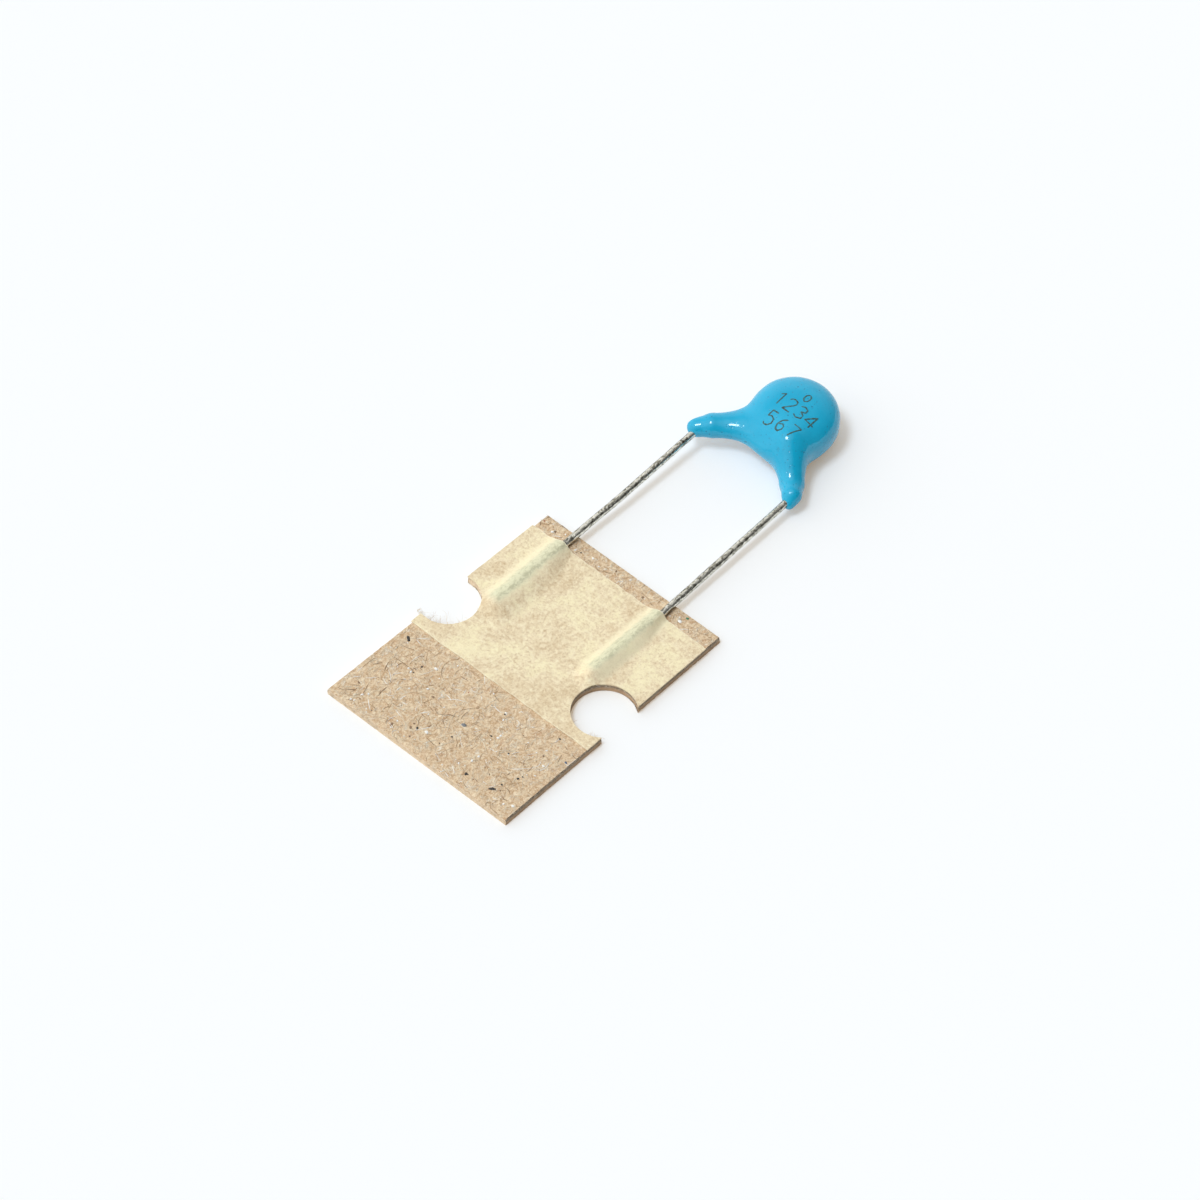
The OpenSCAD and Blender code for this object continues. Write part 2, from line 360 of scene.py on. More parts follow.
class NodeBench(NodeBoard):
    """Builds one node material step by step. Patterns read the piece's own millimetres."""

    def __init__(self, name: str) -> None:
        """Makes an empty material with a Principled shader.

        Args:
            name: Name of the material.
        """
        self.material = bpy.data.materials.new(name)
        super().__init__(self.material)
        self.shader = self.node("ShaderNodeBsdfPrincipled")
        self.output = self.node("ShaderNodeOutputMaterial")
        self.feed(self.output.inputs["Surface"], self.shader.outputs[0])
        self.place = self.stretched((1.0, 1.0, 1.0))

    def stretched(self, stretch: Triple, turn_deg: float = 0.0) -> bpy.types.NodeSocket:
        """Returns object coordinates in millimetres, scaled along each axis and turned about Z."""
        where = self.node("ShaderNodeTexCoord")
        mapping = self.node("ShaderNodeMapping")
        mapping.inputs["Scale"].default_value = tuple(s / MM for s in stretch)
        mapping.inputs["Rotation"].default_value = (0.0, 0.0, math.radians(turn_deg))
        self.feed(mapping.inputs["Vector"], where.outputs["Object"])
        return mapping.outputs["Vector"]

    def axis(self, letter: str) -> bpy.types.NodeSocket:
        """Returns one object coordinate in millimetres."""
        split = self.node("ShaderNodeSeparateXYZ")
        self.feed(split.inputs[0], self.place)
        return split.outputs[letter]

    def noise(
        self,
        per_mm: float,
        detail: float = 3.0,
        roughness: float = 0.5,
        distortion: float = 0.0,
        place: bpy.types.NodeSocket | None = None,
    ) -> bpy.types.NodeSocket:
        """Returns cloud noise between 0 and 1 with so many cells to the millimetre."""
        made = self.node("ShaderNodeTexNoise")
        made.inputs["Scale"].default_value = per_mm
        made.inputs["Detail"].default_value = detail
        made.inputs["Roughness"].default_value = roughness
        made.inputs["Distortion"].default_value = distortion
        self.feed(made.inputs["Vector"], place or self.place)
        return made.outputs["Fac"]

    def dots(
        self, per_mm: float, edge: Pair, cloud_per_mm: float, cloud_edge: Pair
    ) -> bpy.types.NodeSocket:
        """Returns small round dots, 1 inside and 0 outside, kept only where a cloud is thick.

        Args:
            per_mm: Dots to the millimetre.
            edge: Distances from a dot's middle where it is 0 and where it is 1.
            cloud_per_mm: Cells of the cloud to the millimetre.
            cloud_edge: Levels of the cloud where no dot and where every dot is kept.
        """
        made = self.node("ShaderNodeTexVoronoi")
        made.inputs["Scale"].default_value = per_mm
        self.feed(made.inputs["Vector"], self.place)
        spots = self.step(made.outputs["Distance"], *edge)
        return self.sums("MULTIPLY", spots, self.step(self.noise(cloud_per_mm, 1.0), *cloud_edge))

    def sums(
        self, operation: str, first: object, second: object = 0.0, third: object = 0.0
    ) -> bpy.types.NodeSocket:
        """Returns a sum worked out by a Math node."""
        made = self.node("ShaderNodeMath", operation=operation)
        self.feed(made.inputs[0], first)
        self.feed(made.inputs[1], second)
        self.feed(made.inputs[2], third)
        return made.outputs[0]

    def step(self, value: object, low: float, high: float) -> bpy.types.NodeSocket:
        """Returns 0 below low and 1 above high with a smooth rise; low may be the larger."""
        made = self.node("ShaderNodeMapRange", interpolation_type="SMOOTHSTEP")
        self.feed(made.inputs["Value"], value)
        made.inputs["From Min"].default_value = low
        made.inputs["From Max"].default_value = high
        return made.outputs["Result"]

    def between(self, value: object, low: float, high: float, soft: float) -> bpy.types.NodeSocket:
        """Returns 1 between low and high, falling to 0 over soft on both sides."""
        rising = self.step(value, low - soft, low + soft)
        falling = self.step(value, high + soft, high - soft)
        return self.sums("MULTIPLY", rising, falling)

    def bands(self, value: object, left: Triple, right: Triple) -> bpy.types.NodeSocket:
        """Returns 1 inside either of two bands, each given as its low, high and soft edge."""
        return self.sums("MAXIMUM", self.between(value, *left), self.between(value, *right))

    def mix(self, share: object, first: object, second: object) -> bpy.types.NodeSocket:
        """Returns two colours mixed by a share from 0 to 1."""
        made = self.node("ShaderNodeMix", data_type="RGBA")
        self.feed(made.inputs[0], share)
        self.feed(made.inputs[6], first)
        self.feed(made.inputs[7], second)
        return made.outputs[2]

    def laid(
        self, base: object, colour: object, where: object, strength: float
    ) -> bpy.types.NodeSocket:
        """Returns a base colour with another laid over it at a strength, where a pattern is 1."""
        return self.mix(self.sums("MULTIPLY", where, strength), base, colour)

    def scaled(self, value: object, low: float, high: float) -> bpy.types.NodeSocket:
        """Returns a value from 0 to 1 carried to the range from low to high."""
        return self.sums("MULTIPLY_ADD", value, high - low, low)

    def named(self, attribute: str, output: str = "Fac") -> bpy.types.NodeSocket:
        """Returns one of the piece's own point attributes."""
        made = self.node("ShaderNodeAttribute", attribute_name=attribute)
        return made.outputs[output]

    def bump(self, layers: list[tuple[bpy.types.NodeSocket, float]]) -> None:
        """Raises the shader's normal by several height patterns.

        Args:
            layers: Pairs of a pattern from 0 to 1 and its height in millimetres.
        """
        normal = None
        for height, depth in layers:
            made = self.node("ShaderNodeBump")
            made.inputs["Strength"].default_value = 1.0
            made.inputs["Distance"].default_value = depth * MM
            self.feed(made.inputs["Height"], height)
            if normal is not None:
                self.feed(made.inputs["Normal"], normal)
            normal = made.outputs["Normal"]
        self.feed(self.shader.inputs["Normal"], normal)

    def set(self, **values: object) -> None:
        """Sets the shader's sockets by name, with underscores for spaces."""
        for key, value in values.items():
            self.feed(self.shader.inputs[key.replace("_", " ")], value)


@dataclass(frozen=True)
class GlossCoat:
    """Glossy dipped coat: even blue with pinholes, faint cloudiness and fine scuffs."""

    blue: Colour = srgb(12, 168, 208)
    pale_blue: Colour = srgb(30, 174, 213)
    pinhole: Colour = srgb(10, 116, 156)
    scuff: Colour = srgb(40, 120, 150)

    def build(self) -> bpy.types.Material:
        """Returns the finished material."""
        bench = NodeBench("gloss_coat")
        cloud = bench.step(bench.noise(0.55, 4.0), 0.35, 0.65)
        base = bench.mix(cloud, self.blue, self.pale_blue)
        holes = bench.dots(2.4, (0.17, 0.08), 1.5, (0.44, 0.54))
        fine = bench.dots(4.4, (0.24, 0.11), 2.3, (0.46, 0.56))
        marks = bench.sums("MAXIMUM", holes, bench.sums("MULTIPLY", fine, 0.75))
        base = bench.laid(base, self.pinhole, marks, 0.75)
        scratches = bench.noise(5.0, 3.0, 0.6, 0.6, bench.stretched((1.6, 0.35, 1.0), -38.0))
        scratches = bench.step(scratches, 0.60, 0.70)
        scuffs = bench.sums("MULTIPLY", scratches, bench.named("scuffed"))
        base = bench.laid(base, self.scuff, scuffs, 0.7)
        bench.set(
            Base_Color=base,
            Roughness=bench.scaled(bench.noise(1.3, 4.0), 0.05, 0.11),
            IOR=1.5,
        )
        bench.bump([(bench.noise(1.6, 2.0), 0.006), (marks, -0.010), (scuffs, -0.006)])
        return bench.material


@dataclass(frozen=True)
class StampInk:
    """Thin dark stamping ink, patchy where it didn't wet the coat."""

    ink: Colour = srgb(52, 74, 68)
    thin: Colour = srgb(58, 112, 118)

    def build(self) -> bpy.types.Material:
        """Returns the finished material."""
        bench = NodeBench("stamp_ink")
        patch = bench.step(bench.noise(6.0, 3.0), 0.36, 0.62)
        bench.set(
            Base_Color=bench.mix(patch, self.thin, self.ink),
            Roughness=bench.scaled(bench.noise(9.0, 2.0), 0.35, 0.6),
            Specular_IOR_Level=0.35,
        )
        bench.bump([(bench.noise(18.0, 2.0), 0.004)])
        return bench.material


@dataclass(frozen=True)
class TinnedWire:
    """Tinned wire: crinkled tin, mottled bright and dull, with small dark blots; mottling and blots
    are partly the tin's own marks and partly painted reflection.
    """

    bright: Colour = srgb(240, 238, 226)
    dull: Colour = srgb(150, 147, 133)
    tarnish_and_dark_reflection: Colour = srgb(62, 58, 48)
    # The edge tint darkens the wire's outline where it is seen edge-on, as a painted reflection.
    rim: Colour = srgb(84, 82, 74)

    def build(self) -> bpy.types.Material:
        """Returns the finished material."""
        bench = NodeBench("tinned_wire")
        crinkle = bench.noise(4.6, 4.0, 0.6, 0.9, bench.stretched((1.0, 0.7, 1.0)))
        blots = bench.noise(4.0, 4.0, 0.65, 0.8, bench.stretched((1.0, 0.6, 1.0)))
        # Painted reflection in the base colour: the bright and dull mottling and the dark blots stand
        # partly for the tin's own marks and partly for reflections of dark surroundings.
        base = bench.mix(bench.step(crinkle, 0.38, 0.54), self.dull, self.bright)
        base = bench.laid(base, self.tarnish_and_dark_reflection, bench.step(blots, 0.57, 0.64), 0.8)
        bench.set(
            Base_Color=base,
            Metallic=1.0,
            Specular_Tint=self.rim,
            Roughness=bench.scaled(crinkle, 0.32, 0.14),
        )
        bench.bump([(crinkle, 0.034), (bench.noise(10.0, 3.0), 0.007)])
        return bench.material


@dataclass(frozen=True)
class RawCard:
    """Raw recycled card: short fibres every way, with pale and dark bits pressed in."""

    tone: Colour = srgb(224, 198, 163)
    pale: Colour = srgb(246, 229, 199)
    white: Colour = srgb(253, 246, 230)
    brown: Colour = srgb(192, 157, 120)
    rust: Colour = srgb(182, 134, 98)
    # Painted light on the cut walls: the next three colours are painted shade for the right-hand
    # walls, the third a painted shadow low down at their foot; the fourth is a paler painted lit tone
    # for the other walls.
    wall: Colour = srgb(140, 124, 108)
    shaded_wall_pale: Colour = srgb(216, 198, 172)
    foot: Colour = srgb(198, 166, 134)
    lit_near_wall: Colour = srgb(246, 226, 200)
    speck: Colour = srgb(104, 86, 70)

    def build(self) -> bpy.types.Material:
        """Returns the finished material."""
        bench = NodeBench("raw_card")
        clouds = bench.noise(0.8, 3.0, 0.6)
        grain = bench.noise(3.6, 5.0, 0.72, 1.2)
        fine = bench.noise(8.5, 3.0, 0.7, 0.8)
        base = bench.mix(bench.step(grain, 0.38, 0.58), self.brown, self.tone)
        base = bench.mix(bench.step(grain, 0.5, 0.70), base, self.pale)
        base = bench.laid(base, self.pale, bench.step(fine, 0.44, 0.62), 0.5)
        base = bench.laid(base, self.brown, bench.step(fine, 0.48, 0.36), 0.4)
        base = bench.laid(base, self.tone, bench.step(clouds, 0.4, 0.7), 0.2)
        threads = []
        for turn, per_mm, colour, share in (
            (25.0, 2.6, self.white, 0.6),
            (-38.0, 2.3, self.rust, 0.45),
            (80.0, 2.8, self.brown, 0.55),
            (118.0, 2.4, self.pale, 0.75),
        ):
            along = bench.noise(per_mm, 2.0, 0.5, 1.6, bench.stretched((1.0, 0.4, 1.0), turn))
            off_line = bench.sums("ABSOLUTE", bench.sums("SUBTRACT", along, 0.5))
            line = bench.step(off_line, 0.035, 0.008)
            turned = bench.stretched((1.0, 1.0, 1.0), turn * 2)
            patches = bench.noise(per_mm * 0.7, 2.0, 0.5, 0.0, turned)
            thread = bench.sums("MULTIPLY", line, bench.step(patches, 0.48, 0.6))
            threads.append(thread)
            base = bench.laid(base, colour, thread, share)
        base = bench.laid(base, self.speck, bench.dots(3.4, (0.13, 0.06), 2.2, (0.58, 0.66)), 0.7)
        layered = bench.noise(7.0, 4.0, 0.7, 0.6, bench.stretched((1.0, 1.0, 2.2)))
        # The right-hand walls get painted shade that turns to a painted shadow colour low down; the
        # other walls get a paler painted lit tone; the shade attribute picks between them.
        shaded_wall_colour = bench.mix(bench.step(layered, 0.46, 0.66), self.wall, self.shaded_wall_pale)
        level = bench.sums("ADD", bench.axis("Z"), bench.scaled(layered, -0.3, 0.3))
        shaded_wall_colour = bench.mix(bench.step(level, 0.36, 0.18), shaded_wall_colour, self.foot)
        lit_wall_colour = bench.mix(bench.step(layered, 0.4, 0.66), self.tone, self.lit_near_wall)
        walls = bench.mix(bench.named("shade"), lit_wall_colour, shaded_wall_colour)
        base = bench.mix(bench.named("cut"), base, walls)
        bench.set(
            Base_Color=base,
            Roughness=bench.scaled(grain, 0.95, 0.75),
            Specular_IOR_Level=0.25,
        )
        bench.bump([(grain, 0.05), (threads[0], 0.02), (threads[3], 0.02), (fine, 0.02)])
        return bench.material


@dataclass(frozen=True)
class CrepeTape:
    """Thin cream crepe tape: the card shows through in clouds, the wires as greenish bands."""

    cream: Colour = srgb(246, 232, 199)
    rich: Colour = srgb(246, 234, 195)
    show: Colour = srgb(216, 193, 156)
    show_dark: Colour = srgb(186, 158, 122)
    lifted_with_painted_light: Colour = srgb(242, 236, 200)
    band: Colour = srgb(209, 212, 182)
    band_dark: Colour = srgb(158, 154, 122)
    rim: Colour = srgb(252, 245, 220)

    def build(self) -> bpy.types.Material:
        """Returns the finished material."""
        bench = NodeBench("crepe_tape")
        clouds = bench.noise(0.45, 4.0, 0.6, 0.3)
        mottle = bench.noise(3.4, 6.0, 0.8, 0.4)
        fine = bench.noise(6.5, 3.0, 0.7, 0.5)
        base = bench.mix(bench.step(clouds, 0.36, 0.56), self.rich, self.cream)
        across, along = bench.axis("X"), bench.axis("Y")
        warped = bench.sums("ADD", across, bench.scaled(bench.noise(1.6, 3.0), -0.2, 0.2))
        buried = bench.step(along, 1.7, 2.5)
        tents = bench.bands(warped, (-5.0, -3.45, 0.35), (2.9, 4.7, 0.3))
        tents = bench.sums("MULTIPLY", tents, buried)
        wet = bench.step(bench.sums("MULTIPLY_ADD", clouds, 0.6, mottle), 0.64, 1.0)
        wet = bench.sums("MULTIPLY", wet, bench.scaled(tents, 1.0, 0.35))
        base = bench.laid(base, self.show, wet, 0.95)
        grains = bench.sums("MULTIPLY", bench.step(fine, 0.5, 0.68), bench.scaled(wet, 0.12, 0.6))
        base = bench.mix(grains, base, self.show_dark)
        base = bench.laid(base, self.rim, bench.step(fine, 0.46, 0.3), 0.4)
        # Over the tents the tape stands off the card and less card shows through; the paler colour
        # laid there is also painted light that evens out the shade on the tents' slopes.
        base = bench.laid(base, self.lifted_with_painted_light, tents, 0.45)
        core = bench.bands(warped, (-4.5, -3.62, 0.24), (3.35, 4.1, 0.2))
        core = bench.sums("MULTIPLY", core, buried)
        base = bench.laid(base, self.band, core, 0.6)
        edge = bench.bands(warped, (-3.98, -3.66, 0.12), (3.78, 4.06, 0.12))
        lengthwise = bench.noise(5.2, 5.0, 0.75, 0.6, bench.stretched((1.0, 0.7, 1.0)))
        streak, deeper = bench.step(lengthwise, 0.46, 0.62), bench.step(lengthwise, 0.40, 0.58)
        streak = bench.sums("MULTIPLY", streak, bench.sums("MULTIPLY", core, 0.4))
        deeper = bench.sums("MULTIPLY", deeper, bench.sums("MULTIPLY", edge, 0.5))
        streak = bench.sums("MAXIMUM", streak, bench.sums("MULTIPLY", deeper, buried))
        base = bench.mix(streak, base, self.band_dark)
        base = bench.laid(base, self.rim, bench.named("cut"), 0.6)
        bench.set(
            Base_Color=base,
            Roughness=bench.scaled(mottle, 0.62, 0.85),
            Specular_IOR_Level=0.3,
        )
        bench.bump([(bench.noise(2.4, 5.0, 0.6), 0.03), (fine, 0.014)])
        return bench.material


@dataclass(frozen=True)
class LooseBits:
    """Fibres and specks: each carries its own tint as a point attribute."""

    def build(self) -> bpy.types.Material:
        """Returns the finished material."""
        bench = NodeBench("loose_bits")
        shade = bench.scaled(bench.noise(7.0, 2.0), 0.8, 1.15)
        tint = bench.node("ShaderNodeVectorMath", operation="SCALE")
        bench.feed(tint.inputs[0], bench.named("tint", "Color"))
        bench.feed(tint.inputs["Scale"], shade)
        bench.set(
            Base_Color=tint.outputs[0],
            Roughness=bench.scaled(bench.noise(9.0, 2.0), 0.45, 0.75),
            Specular_IOR_Level=0.4,
        )
        bench.bump([(bench.noise(20.0, 2.0), 0.006)])
        return bench.material


@dataclass(frozen=True)
class PlainInside:
    """Plain finish of a hidden piece."""

    name: str
    colour: Colour
    metallic: float
    roughness: float

    def build(self) -> bpy.types.Material:
        """Returns the finished material."""
        bench = NodeBench(self.name)
        grain = bench.noise(6.0, 3.0)
        darker = tuple(0.75 * c for c in self.colour[:3]) + (1.0,)
        bench.set(
            Base_Color=bench.mix(grain, self.colour, darker),
            Metallic=self.metallic,
            Roughness=bench.scaled(grain, self.roughness - 0.08, self.roughness + 0.08),
        )
        bench.bump([(grain, 0.01)])
        return bench.material


# ---------------------------------------------------------------------------------------------
# Pieces
# ---------------------------------------------------------------------------------------------


def hand_over(
    piece: bpy.types.Object,
    material: bpy.types.Material,
    stands_for: tuple[str, ...] = (),
) -> None:
    """Dresses a finished piece and fixes it to the still body.

    Args:
        piece: The new mesh object.
        material: Finish.
        stands_for: CAD nodes that the piece stands for.
    """
    piece.data.materials.append(material)
    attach(piece, STILL_BODY)
    if stands_for:
        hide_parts(*stands_for)
    log.info("%s: %d triangles", piece.name, len(piece.data.polygons))


class Side(Enum):
    """The two wires, as seen with the disc away from the viewer."""

    LEFT = -1
    RIGHT = 1


@dataclass
class LegShape:
    """One leg of the coat: balls at its root, knee, tip and mouth, joined end to end.

    The root stands in the disc's own axes. The squash flattens the leg towards its root, or
    thickens it there if it is negative.
    """

    stations: tuple[Triple, ...]
    radii: tuple[float, ...]
    squash: float

    def places(self, centre: np.ndarray, axes: np.ndarray) -> np.ndarray:
        """Returns the middles of the balls in the part's frame, from root to mouth."""
        return np.array([centre + axes.T @ np.array(self.stations[0]), *self.stations[1:]])


@dataclass(frozen=True)
class WebShape:
    """The web that fills the corner between the legs: an oval slab with rounded sides."""

    centre: Triple
    reach: Triple
    power: float


@dataclass
class Coat:
    """The dipped coat as one smooth skin.

    The skin is where a soft least-distance of its shapes is zero: a round slab, an oval slab
    between the legs, and for each leg three round cones joined end to end. The section of a
    slab is a superellipse; a round cone is the hull of two balls.

    Attributes:
        centre: Middle of the disc.
        rise: Slope of the disc's face, up towards +Y.
        roll: Slope of the disc's face, down towards +X.
        blend: Softness where the legs, the web and the disc meet.
        tip_blend: Softness where the cones of one leg meet.
        leg_columns: Columns of the skin along each side of a leg.
        tip_columns: Columns round the tip of a leg.
        arc_columns: Columns round the disc.
        samples: Rays tried down each column, crowded towards the level one by rim_crowding.
        furthest: Length to which a ray is followed, in steps_out steps.
        headroom: Height over the centre that is surely outside the skin.
        run_out: How far a spine runs straight on past its ends before it is rounded.
        inner_turn: Stretch of a spine over which the inner columns turn square to it.
        scuffs: X, Y and reach of each scuffed spot.
    """

    centre: Triple = (0.171, 24.045, 1.731)
    radius: float = 2.759
    half_t: float = 1.699
    power: float = 2.536
    rise: float = 0.050
    roll: float = 0.067
    blend: float = 0.360
    tip_blend: float = 0.08
    web: WebShape = WebShape((-0.054, -1.981, -0.005), (1.838, 1.171, 0.538), 2.6)
    legs: dict[Side, LegShape] = field(
        default_factory=lambda: {
            Side.LEFT: LegShape(
                (
                    (-1.950, -2.355, -0.065),
                    (-3.174, 20.357, 1.680),
                    (-3.831, 19.707, 1.564),
                    (-3.739, 19.664, 1.540),
                ),
                (0.999, 0.713, 0.551, 0.293),
                0.438,
            ),
            Side.RIGHT: LegShape(
                (
                    (1.361, -1.985, 0.164),
                    (3.137, 20.519, 1.047),
                    (3.688, 19.874, 1.172),
                    (3.885, 19.413, 0.939),
                ),
                (1.065, 0.710, 0.574, 0.374),
                -0.277,
            ),
        }
    )
    leg_columns: int = 108
    tip_columns: int = 64
    arc_columns: int = 96
    rows: int = 150
    samples: int = 260
    furthest: float = 3.6
    steps_out: int = 36
    headroom: float = 3.0
    spine_marks: int = 1200
    rim_crowding: float = 1.4
    run_out: float = 1.5
    inner_turn: Pair = (0.4, 4.6)
    orange_peel: float = 0.003
    scuffs: tuple[Triple, ...] = ((3.05, 20.9, 0.55), (1.5, 21.4, 0.7))

    def axes(self) -> np.ndarray:
        """Returns the disc's own axes as rows: across, along and out of its face."""
        normal = unit(np.array([self.roll, -self.rise, 1.0]))
        across = unit(np.array([1.0, 0.0, 0.0]) - normal[0] * normal)
        return np.array([across, np.cross(normal, across), normal])

    @staticmethod
    def cone(points: np.ndarray, a: np.ndarray, b: np.ndarray, ra: float, rb: float) -> np.ndarray:
        """Returns the distance to the hull of a ball at a and a smaller ball at b.

        Beyond the circles where the flank touches the balls it is the distance to a ball, and
        between them the distance to the flank, whose slope is the difference of the radii over
        the distance of the centres.
        """
        line = b - a
        length2 = line @ line
        drop = ra - rb
        along = (points - a) @ line
        off2 = (((points - a) * length2 - along[..., None] * line) ** 2).sum(-1)
        past = along - length2
        edge = drop * abs(drop) * off2
        lean2 = length2 - drop**2
        flank = (np.sqrt(off2 * lean2 / length2) + along * drop) / length2 - ra
        first = np.sqrt(off2 + along**2 * length2) / length2 - ra
        second = np.sqrt(off2 + past**2 * length2) / length2 - rb
        near_first = np.sign(along) * lean2 * along**2 * length2 < edge
        near_second = np.sign(past) * lean2 * past**2 * length2 > edge
        return np.where(near_second, second, np.where(near_first, first, flank))

    @staticmethod
    def slab(local: np.ndarray, reach: Triple, power: float) -> np.ndarray:
        """Returns the distance to a superellipse slab, divided through by its slope."""
        wide, long = local[..., 0] / reach[0], local[..., 1] / reach[1]
        out = np.hypot(wide, long) + 1e-9
        high = np.abs(local[..., 2]) / reach[2] + 1e-9
        level = (out**power + high**power) ** (1 / power)
        slope_out = (out / level) ** (power - 1) / out
        slope_out = slope_out * np.hypot(wide / reach[0], long / reach[1])
        slope_high = (high / level) ** (power - 1) / reach[2]
        return (level - 1) / np.hypot(slope_out, slope_high)

    @staticmethod
    def soft_least(stack: np.ndarray, blend: float) -> np.ndarray:
        """Returns the least of several distances, rounded off where two of them are close."""
        least = stack.min(axis=0)
        return least - blend * np.log(np.exp((least - stack) / blend).sum(axis=0))

    def depth(self, points: np.ndarray) -> np.ndarray:
        """Returns the soft least-distance: negative inside the skin, positive outside."""
        local = (points - np.array(self.centre)) @ self.axes().T
        parts = [
            self.slab(local, (self.radius, self.radius, self.half_t), self.power),
            self.slab(local - np.array(self.web.centre), self.web.reach, self.web.power),
        ]
        for leg in self.legs.values():
            balls, radii = leg.places(np.array(self.centre), self.axes()), leg.radii
            line = balls[1] - balls[0]
            share = np.clip((points - balls[0]) @ line / (line @ line), 0.0, 1.0)
            level = balls[0][2] + share * line[2]
            tall = points.copy()
            tall[..., 2] = level + (points[..., 2] - level) * (1 + leg.squash * (1 - share))
            cones = [
                self.cone(points if k else tall, balls[k], balls[k + 1], radii[k], radii[k + 1])
                for k in range(len(radii) - 1)
            ]
            parts.append(self.soft_least(np.stack(cones), self.tip_blend))
        return self.soft_least(np.stack(parts), self.blend)

    def outward(self, points: np.ndarray) -> np.ndarray:
        """Returns the skin's outward direction at points near it."""
        step = 2e-3
        slopes = [
            self.depth(points + step * e) - self.depth(points - step * e) for e in np.eye(3)
        ]
        return unit(np.stack(slopes, axis=-1))

    def spine(self, side: Side, count: int) -> tuple[np.ndarray, np.ndarray]:
        """Returns points from the disc's centre down a leg into its tip, and their spacing.

        The line from the centre through the leg's balls runs straight on past both its ends. It
        is rounded by a running mean with bell-shaped weights, narrower towards the ends.
        """
        balls = self.legs[side].places(np.array(self.centre), self.axes())
        corners = np.concatenate([[self.centre], balls[:-1]])
        length = run_along(corners)
        marks = np.linspace(-self.run_out, length[-1] + self.run_out, self.spine_marks)
        before = (corners[0] - corners[1]) / length[1]
        after = (corners[-1] - corners[-2]) / (length[-1] - length[-2])
        line = points_at(marks, corners)
        line += np.clip(-marks, 0, None)[:, None] * before
        line += np.clip(marks - length[-1], 0, None)[:, None] * after
        wanted = np.linspace(0, length[-1], count)
        ends = np.minimum(wanted, length[-1] - wanted)
        width = 0.02 + 0.42 * smoothstep(0.0, 0.9, ends)
        weight = np.exp(-(((marks[None] - wanted[:, None]) / width[:, None]) ** 2))
        return weight @ line / weight.sum(axis=1, keepdims=True), wanted

    def columns_of(self) -> tuple[np.ndarray, np.ndarray]:
        """Returns the foot on the spine and the compass angle of every column of the skin.

        The columns go once round the outline: down the outside of the left leg, round its tip
        and back up its inside, the same for the right leg, and round the disc. Between the legs
        the inner columns start straight towards the strip and turn square to the leg as they go.
        """
        feet, turns = [], []
        for side in (Side.LEFT, Side.RIGHT):
            sign = side.value
            points, along = self.spine(side, self.leg_columns)
            slope = np.gradient(points, axis=0)
            heading = np.unwrap(np.arctan2(slope[:, 1], slope[:, 0]))
            outer = heading + sign * math.pi / 2
            square = heading - sign * math.pi / 2
            share = smoothstep(*self.inner_turn, along)
            inner = -math.pi / 2 * (1 - share) + square * share
            swing = np.linspace(outer[-1], inner[-1], self.tip_columns)[1:-1]
            tip = np.repeat(points[-1:], len(swing), axis=0)
            foot = np.concatenate([points, tip, points[::-1]])
            turn = np.concatenate([outer, swing, inner[::-1]])
            feet.append(foot if side is Side.LEFT else foot[::-1])
            turns.append(turn if side is Side.LEFT else turn[::-1])
        first, last = turns[0][0] % (2 * math.pi), turns[1][-1] % (2 * math.pi)
        arc = np.linspace(last, first, self.arc_columns)[1:-1]
        feet.append(np.repeat(feet[0][:1], len(arc), axis=0))
        turns.append(arc)
        return np.concatenate(feet), np.concatenate(turns)

    @staticmethod
    def ray_points(
        foot: np.ndarray, turn: np.ndarray, tilt: np.ndarray, reach: np.ndarray
    ) -> np.ndarray:
        """Returns points at a reach from a foot, along a compass angle and an elevation."""
        flat = np.cos(tilt)
        way = np.stack([flat * np.cos(turn), flat * np.sin(turn), np.sin(tilt)], axis=-1)
        return foot + reach[..., None] * way

    def reach_to_skin(self, foot: np.ndarray, turn: np.ndarray, tilt: np.ndarray) -> np.ndarray:
        """Returns how far each ray runs before it leaves the skin: first by steps, then halving."""

        def within(reach: np.ndarray) -> np.ndarray:
            """Returns whether each ray is still under the skin at its reach."""
            return self.depth(self.ray_points(foot, turn, tilt, reach)) < 0

        marks = np.linspace(0.0, self.furthest, self.steps_out + 1)
        inside = np.ones(turn.shape, bool)
        last = np.zeros(turn.shape)
        for mark in marks[1:]:
            inside &= within(np.full(turn.shape, mark))
            last = np.where(inside, mark, last)
        return halved(within, last, last + marks[1], rounds=18)

    @staticmethod
    def even_spacing(curves: np.ndarray, count: int) -> np.ndarray:
        """Returns each curve of shape (curves, samples, 3) with count points evenly along it."""
        steps = np.linalg.norm(np.diff(curves, axis=1), axis=-1)
        length = np.concatenate([np.zeros((len(curves), 1)), np.cumsum(steps, axis=1)], axis=1)
        length /= length[:, -1:]
        wanted = np.linspace(0, 1, count)
        passed = (length[:, None, :] < wanted[None, :, None]).sum(-1)
        upper = np.clip(passed, 1, curves.shape[1] - 1)
        row = np.arange(len(curves))[:, None]
        left, right = length[row, upper - 1], length[row, upper]
        share = ((wanted[None] - left) / np.maximum(right - left, 1e-12))[..., None]
        return curves[row, upper - 1] * (1 - share) + curves[row, upper] * share

